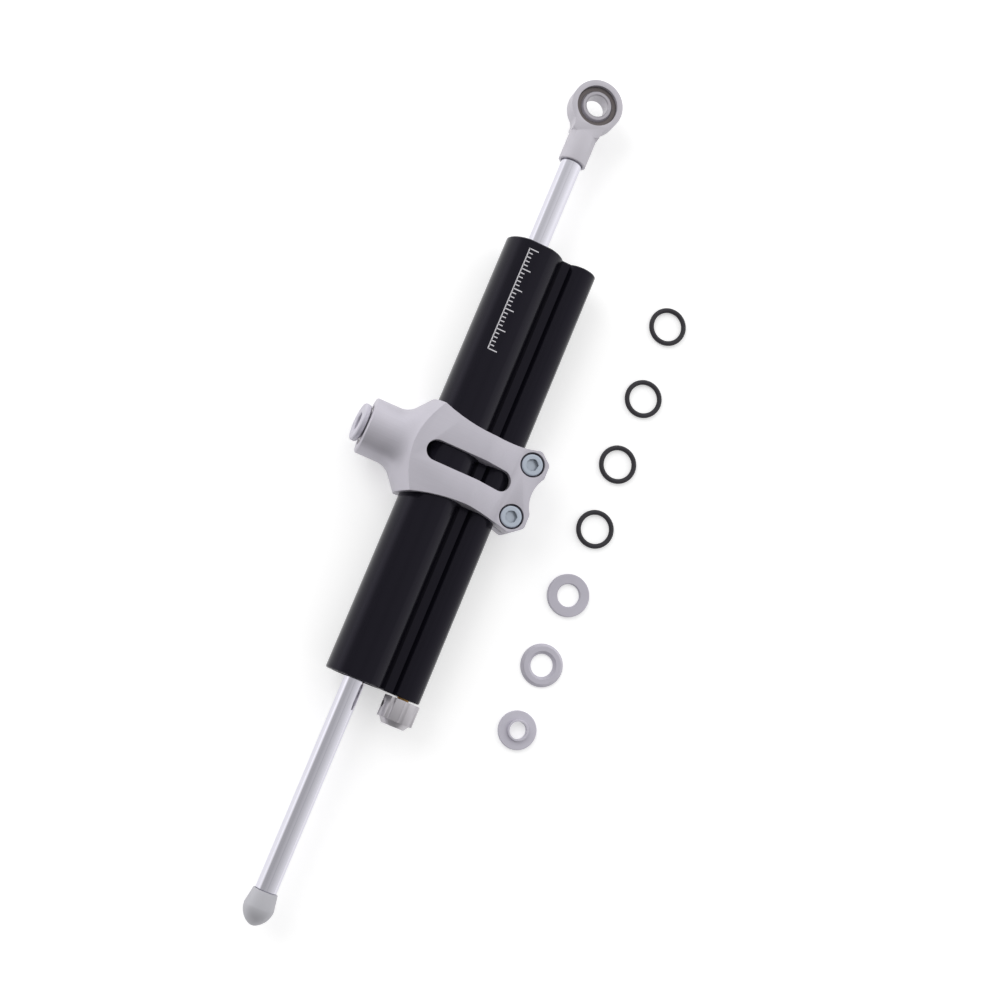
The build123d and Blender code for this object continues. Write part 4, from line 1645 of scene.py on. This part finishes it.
@dataclass
class AdjusterKnob:
    """The fluted knob with its smaller nose and grub screw hole.

    Attributes:
        knob: its CAD box.
        grip: the length of the fluted part.
        nose: the nose's radius at the grip.
        tip: the nose's radius at its end.
        flutes: the number of flutes.
        flute: a flute's radius.
        flute_depth: its depth.
        first_flute: the angle of the first one from up towards the boss, in degrees.
        radius: the fluted part's radius.
        spindle: the radius of the bore for the spindle.
        spindle_depth: how deep that bore is.
        grub: the radius of the grub screw's hole.
        grub_place: its distance from the knob's near end.
        soft_edge: the rounding of the edges.
    """

    knob: Span = field(default_factory=lambda: Span.of("adjuster_knob"))
    grip: float = 9.7 * MM
    nose: float = 7.0 * MM
    tip: float = 5.5 * MM
    flutes: int = 8
    flute: float = 1.6 * MM
    flute_depth: float = 0.6 * MM
    first_flute: float = 81.3
    radius: float = 8.25 * MM
    spindle: float = 2.78 * MM
    spindle_depth: float = 8.9 * MM
    grub: float = 1.63 * MM
    grub_place: float = 4.3 * MM
    soft_edge: float = 0.25 * MM

    @property
    def axis(self) -> Point:
        """The knob's axis in Y and Z."""
        return Span.of("adjuster_spindle").middle.y, 0.0

    def draw(self, pen: Outline) -> None:
        """Draws the fluted outline, anticlockwise.

        Args:
            pen: draws it.
        """
        far = self.radius + self.flute - self.flute_depth
        half = math.acos((self.radius ** 2 + far ** 2 - self.flute ** 2) / (2.0 * self.radius * far))
        swing = math.acos((self.flute ** 2 + far ** 2 - self.radius ** 2) / (2.0 * self.flute * far))
        pitch = math.tau / self.flutes
        begin = math.radians(90.0 - self.first_flute) + half
        pen.start((self.radius * math.cos(begin), self.radius * math.sin(begin)))
        for step in range(self.flutes):
            pen.arc((0.0, 0.0), math.degrees(pitch - 2.0 * half))
            middle = begin - half + (step + 1) * pitch
            pen.arc((far * math.cos(middle), far * math.sin(middle)), -math.degrees(2.0 * swing))

    def form(self) -> Solid:
        """The knob, bored for the spindle and cross-drilled for its grub screw.

        Returns:
            The knob.
        """
        near, far = self.knob.high.x, self.knob.low.x
        shoulder = near - self.grip
        made = Solid.plate(self.draw, (), self.grip, Matrix.Translation((shoulder, 0.0, 0.0)) @ ACROSS,
                           2 * FINE_STEPS)

        def on_end(edge: bmesh.types.BMEdge) -> bool:
            """Whether an edge runs round the grip's ends."""
            return abs(edge.verts[0].co.x - edge.verts[1].co.x) < WELD

        made.softened(self.soft_edge, segments=2, test=on_end)

        def profile(pen: Outline) -> None:
            """The nose's profile.

            Args:
                pen: draws it.
            """
            inside = near - OVERRUN
            pen.start((far, 0.0)).line((far, self.tip - self.soft_edge))
            pen.line((far + self.soft_edge, self.tip)).line((shoulder, self.nose))
            pen.line((inside, self.nose)).line((inside, 0.0))

        made = made.cut(Solid.turned(profile), operation="UNION")
        bore = Solid.cylinder(self.spindle, near - self.spindle_depth, near + OVERRUN)
        middle = near - self.grub_place
        turn = Matrix.Rotation(math.radians(-self.first_flute), 4, "X") @ basis((0, 0, 1), (1, 0, 0))
        hole = Solid.cylinder(self.grub, self.spindle - OVERRUN, self.radius + OVERRUN).placed(
            Matrix.Translation((middle, 0.0, 0.0)) @ turn)
        made = made.cut(bore, hole)
        y, z = self.axis
        return made.placed(Matrix.Translation((0.0, y, z)))

    def build(self) -> None:
        """Makes the knob."""
        Piece("knob_fluted", "knob", Palette.knob, ("adjuster_knob",)).make(self.form())


@dataclass
class FittingKit:
    """The loose rings, washers and collar that lie beside the damper.

    Attributes:
        rings: the CAD nodes of the rubber rings.
        washer_bore: the radius of both washers' bores.
        washer_edge: the rounding of the plain washer's upper edges.
        washer_foot: the chamfer of both washers' lower edges.
        bevel_rim: how high the bevelled washer's walls stand.
        bevel_flat: the share of its width that stays flat on top.
        collar: the stepped collar.
    """

    rings: tuple[str, ...] = ("spare_o_ring_1", "spare_o_ring_2", "spare_o_ring_3", "spare_o_ring_4")
    washer_bore: float = 5.3 * MM
    washer_edge: float = 0.35 * MM
    washer_foot: float = 0.15 * MM
    bevel_rim: float = 0.9 * MM
    bevel_flat: float = 0.45
    collar: Collar = field(default_factory=lambda: Collar(
        flange=9.0 * MM, thickness=2.0 * MM, spigot=4.97 * MM, length=1.7 * MM, bore=4.05 * MM,
        edge=0.3 * MM))

    @staticmethod
    def upright(node: str) -> Matrix:
        """The placement of a piece made along X so that it stands on the node's lowest point."""
        box = Span.of(node)
        return basis((0, 0, 1), (0, 1, 0), (box.middle.x, box.middle.y, box.low.z))

    def ring_form(self, node: str) -> Solid:
        """A round rubber ring.

        Args:
            node: its CAD node.

        Returns:
            The ring.
        """
        box = Span.of(node)
        section = box.size.z / 2.0
        middle = box.size.x / 2.0 - section

        def profile(pen: Outline) -> None:
            """The ring's round section."""
            pen.start((2.0 * section, middle)).arc((section, middle), 360.0)

        return Solid.turned(profile, closed=True).placed(self.upright(node))

    def washer_form(self, node: str, rim: float, flat: float) -> Solid:
        """A washer with edges that slope to both rims.

        Args:
            node: its CAD node.
            rim: how high its walls stand.
            flat: the share of its width that stays flat on top.

        Returns:
            The washer.
        """
        box = Span.of(node)
        outer, inner, height = box.size.x / 2.0, self.washer_bore, box.size.z
        slope = (outer - inner) * (1.0 - flat) / 2.0
        foot = self.washer_foot

        def profile(pen: Outline) -> None:
            """The washer's section.

            Args:
                pen: draws it.
            """
            pen.start((foot, inner)).line((0.0, inner + foot)).line((0.0, outer - foot))
            pen.line((foot, outer)).line((rim, outer)).line((height, outer - slope))
            pen.line((height, inner + slope)).line((rim, inner))

        return Solid.turned(profile, closed=True).placed(self.upright(node))

    def build(self) -> None:
        """Makes the seven loose pieces."""
        for number, node in enumerate(self.rings, 1):
            Piece(f"loose_ring_{number}", "damper_body", Palette.rubber, (node,)).make(
                self.ring_form(node))
        plain, bevelled = Span.of("spacer_washer"), Span.of("bevelled_washer")
        edge = self.washer_edge
        flat = 1.0 - 2.0 * edge / (plain.size.x / 2.0 - self.washer_bore)
        Piece("loose_washer_plain", "damper_body", Palette.collar, ("spacer_washer",)).make(
            self.washer_form("spacer_washer", plain.size.z - edge, flat))
        Piece("loose_washer_bevelled", "damper_body", Palette.collar, ("bevelled_washer",)).make(
            self.washer_form("bevelled_washer", self.bevel_rim, self.bevel_flat))
        box = Span.of("stepped_collar")
        turned_over = basis((0, 0, -1), (0, 1, 0), (box.middle.x, box.middle.y, box.high.z))
        Piece("loose_collar", "damper_body", Palette.bush, ("stepped_collar",)).make(
            self.collar.form().placed(turned_over))


@dataclass
class Scale:
    """A plain ruler on the body's flat, for setting the clamp.

    Attributes:
        tube: the body's CAD box.
        clamp: the clamp's CAD box.
        start: where it starts from the clamp's middle.
        length: its length.
        pitch: the distance between two lines.
        long_every: every so many lines one is long.
        stroke: the lines' width.
        short: the short lines' length.
        long: the long lines' length.
        edge_y: where the lines start across the flat.
        height: how far the print stands out.
    """

    tube: Span = field(default_factory=lambda: Span.of("damper_body"))
    clamp: Span = field(default_factory=lambda: Span.of("clamp"))
    start: float = 52.0 * MM
    length: float = 50.0 * MM
    pitch: float = 2.0 * MM
    long_every: int = 5
    stroke: float = 0.5 * MM
    short: float = 2.2 * MM
    long: float = 4.4 * MM
    edge_y: float = 4.2 * MM
    height: float = 0.03 * MM

    def form(self) -> Solid:
        """The base line and the cross lines.

        Returns:
            The ruler.
        """
        made = Solid()
        top, x0 = self.tube.high.z, self.clamp.middle.x + self.start
        spots = [(x0 + self.length / 2.0, self.edge_y, self.length + self.stroke, self.stroke)]
        for step in range(round(self.length / self.pitch) + 1):
            reach = self.long if step % self.long_every == 0 else self.short
            spots.append((x0 + step * self.pitch, self.edge_y - reach / 2.0, self.stroke, reach))
        for x, y, wide, deep in spots:
            bmesh.ops.create_cube(made.bm, size=1.0, matrix=Matrix.Translation((x, y, top))
                                  @ Matrix.Diagonal((wide, deep, 2.0 * self.height, 1.0)))
        return made

    def build(self) -> None:
        """Prints the ruler."""
        Piece("body_ruler", "damper_body", Palette.mark).make(self.form())


class Internals:
    """The CAD nodes that stay as they are, each with its finish."""

    def build(self) -> None:
        """Dresses every CAD node with the finish of its slot."""
        slots = {part["node"]: part["material_slot"] for part in frame["record"]["subparts"]}
        own = {finish.slot: finish for finish in vars(Palette).values()
               if isinstance(finish, Finish) and finish.slot}
        for name, node in frame["nodes"].items():
            finish = own[slots[name]]
            node.data.materials.clear()
            node.data.materials.append(finish.material())
            log.info("node %s: %s", name, finish.name)


# The studio

@dataclass
class Studio:
    """The floor, the lamps, the world and the camera.

    Attributes:
        camera_place: where the camera stands, in metres.
        camera_turn: its turn about X, Y and Z in degrees.
        lens: its focal length in millimetres on the sensor.
        sensor: the sensor's width in millimetres.
        floor_size: the floor's side in metres.
        floor_colour: the floor's grey.
        floor_glow: how much the floor glows to the camera and in reflections.
        across: the sky's brightness from the clamp's ears' side to the boss's side, as stops of
            a ramp.
        brightest: the brightness that the ramp's white stands for.
        low_gain: how much brighter the sky is towards the horizon.
        along: how much brighter it is at the eye's end.
        key_place: where the lamp hangs from the part's middle, in metres.
        key_size: its side in metres.
        key_watts: its power.
    """

    camera_place: tuple[float, float, float] = (-0.304152, 0.094398, 0.726587)
    camera_turn: tuple[float, float, float] = (4.643784, -12.374169, -67.274290)
    lens: float = 59.5652
    sensor: float = 36.0
    floor_size: float = 6.0
    floor_colour: float = 0.80
    floor_glow: float = 0.42
    across: tuple[Point, ...] = ((0.0, 0.78), (0.25, 0.68), (0.39, 0.64), (0.44, 0.52), (0.49, 0.63),
                                 (0.60, 0.60), (0.75, 0.50), (0.94, 0.48), (1.0, 1.10))
    brightest: float = 1.5
    low_gain: float = 0.30
    along: float = 0.80
    key_place: tuple[float, float, float] = (0.35, 0.9, 0.8)
    key_size: float = 0.9
    key_watts: float = 6.0

    def camera(self) -> None:
        """Sets the camera at the photograph's angle."""
        data = bpy.data.cameras.new("camera")
        data.lens, data.sensor_width, data.sensor_fit = self.lens, self.sensor, "HORIZONTAL"
        made = bpy.data.objects.new("camera", data)
        made.location = self.camera_place
        made.rotation_euler = [math.radians(a) for a in self.camera_turn]
        bpy.context.scene.collection.objects.link(made)
        bpy.context.scene.camera = made

    def seen(self, graph: Graph) -> Signal:
        """1 for rays from the camera, a mirror or glass, and 0 for rays that light things.

        Args:
            graph: the material's graph.

        Returns:
            That number.
        """
        total = graph.node("ShaderNodeLightPath", output="Is Camera Ray")
        for name in ("Is Glossy Ray", "Is Transmission Ray"):
            total = total.larger(graph.node("ShaderNodeLightPath", output=name))
        return total

    def floor(self) -> None:
        """Lays the floor under the lowest piece."""
        solid = Solid()
        bmesh.ops.create_grid(solid.bm, x_segments=1, y_segments=1, size=self.floor_size / 2.0,
                              matrix=Matrix.Translation((0.0, 0.0, cad_low.z)))
        made = bpy.data.objects.new("floor", solid.mesh("floor"))
        bpy.context.scene.collection.objects.link(made)
        paint = bpy.data.materials.new("floor")
        paint.use_nodes = True
        graph = Graph(paint.node_tree)
        grey = (self.floor_colour,) * 3
        matt = graph.node("ShaderNodeBsdfDiffuse", None, {"Color": (*grey, 1.0)})
        glow = graph.node("ShaderNodeEmission", None, {"Strength": self.seen(graph) * self.floor_glow})
        both = graph.node("ShaderNodeAddShader", None, {0: matt, 1: glow})
        graph.node("ShaderNodeOutputMaterial", None, {"Surface": both})
        made.data.materials.append(paint)

    def world(self) -> None:
        """Surrounds the set with a soft sky, white where it is seen directly."""
        made = bpy.data.worlds.new("studio")
        made.use_nodes = True
        graph = Graph(made.node_tree)
        x, y, z = graph.parts(graph.node("ShaderNodeTexCoord", output="Generated"))
        stops = [(place, level / self.brightest) for place, level in self.across]
        band = graph.node("ShaderNodeValToRGB", {"stops": stops}, {"Fac": y * 0.5 + 0.5})
        rise = (1.0 + (1.0 - z.larger(0.0)) * self.low_gain) * (1.0 + x * self.along)
        shade = band * self.brightest * rise
        direct = graph.node("ShaderNodeLightPath", output="Is Camera Ray")
        strength = direct + (1.0 - direct) * shade
        white = (1.0, 1.0, 1.0, 1.0)
        sky = graph.node("ShaderNodeBackground", None, {"Color": white, "Strength": strength})
        graph.node("ShaderNodeOutputWorld", None, {"Surface": sky})
        bpy.context.scene.world = made

    def lamp(self, name: str, place: Sequence[float], aim: Sequence[float], size: float,
             watts: float) -> None:
        """Hangs a square soft lamp that no surface mirrors.

        Args:
            name: its name.
            place: where it hangs.
            aim: the point that it faces.
            size: its side in metres.
            watts: its power.
        """
        data = bpy.data.lights.new(name, "AREA")
        data.size, data.energy = size, watts
        made = bpy.data.objects.new(name, data)
        made.visible_glossy = False
        made.location = place
        made.rotation_euler = (Vector(aim) - Vector(place)).to_track_quat("-Z", "Y").to_euler()
        bpy.context.scene.collection.objects.link(made)

    def build(self) -> None:
        """Sets up the whole studio."""
        middle = (cad_low + cad_high) / 2.0
        self.camera()
        self.floor()
        self.world()
        self.lamp("key", middle + Vector(self.key_place), middle, self.key_size, self.key_watts)
        bpy.context.scene.view_settings.view_transform = "Standard"
        log.info("studio set")


def main() -> None:
    """Builds the whole scene and reports each piece."""
    Studio().build()
    body = DamperBody()
    body.build()
    Scale().build()
    Rod().build()
    RodEye().build()
    Clamp(body).build()
    BossBearing().build()
    AdjusterKnob().build()
    FittingKit().build()
    Internals().build()
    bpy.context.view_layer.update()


if __name__ == "__main__":
    main()
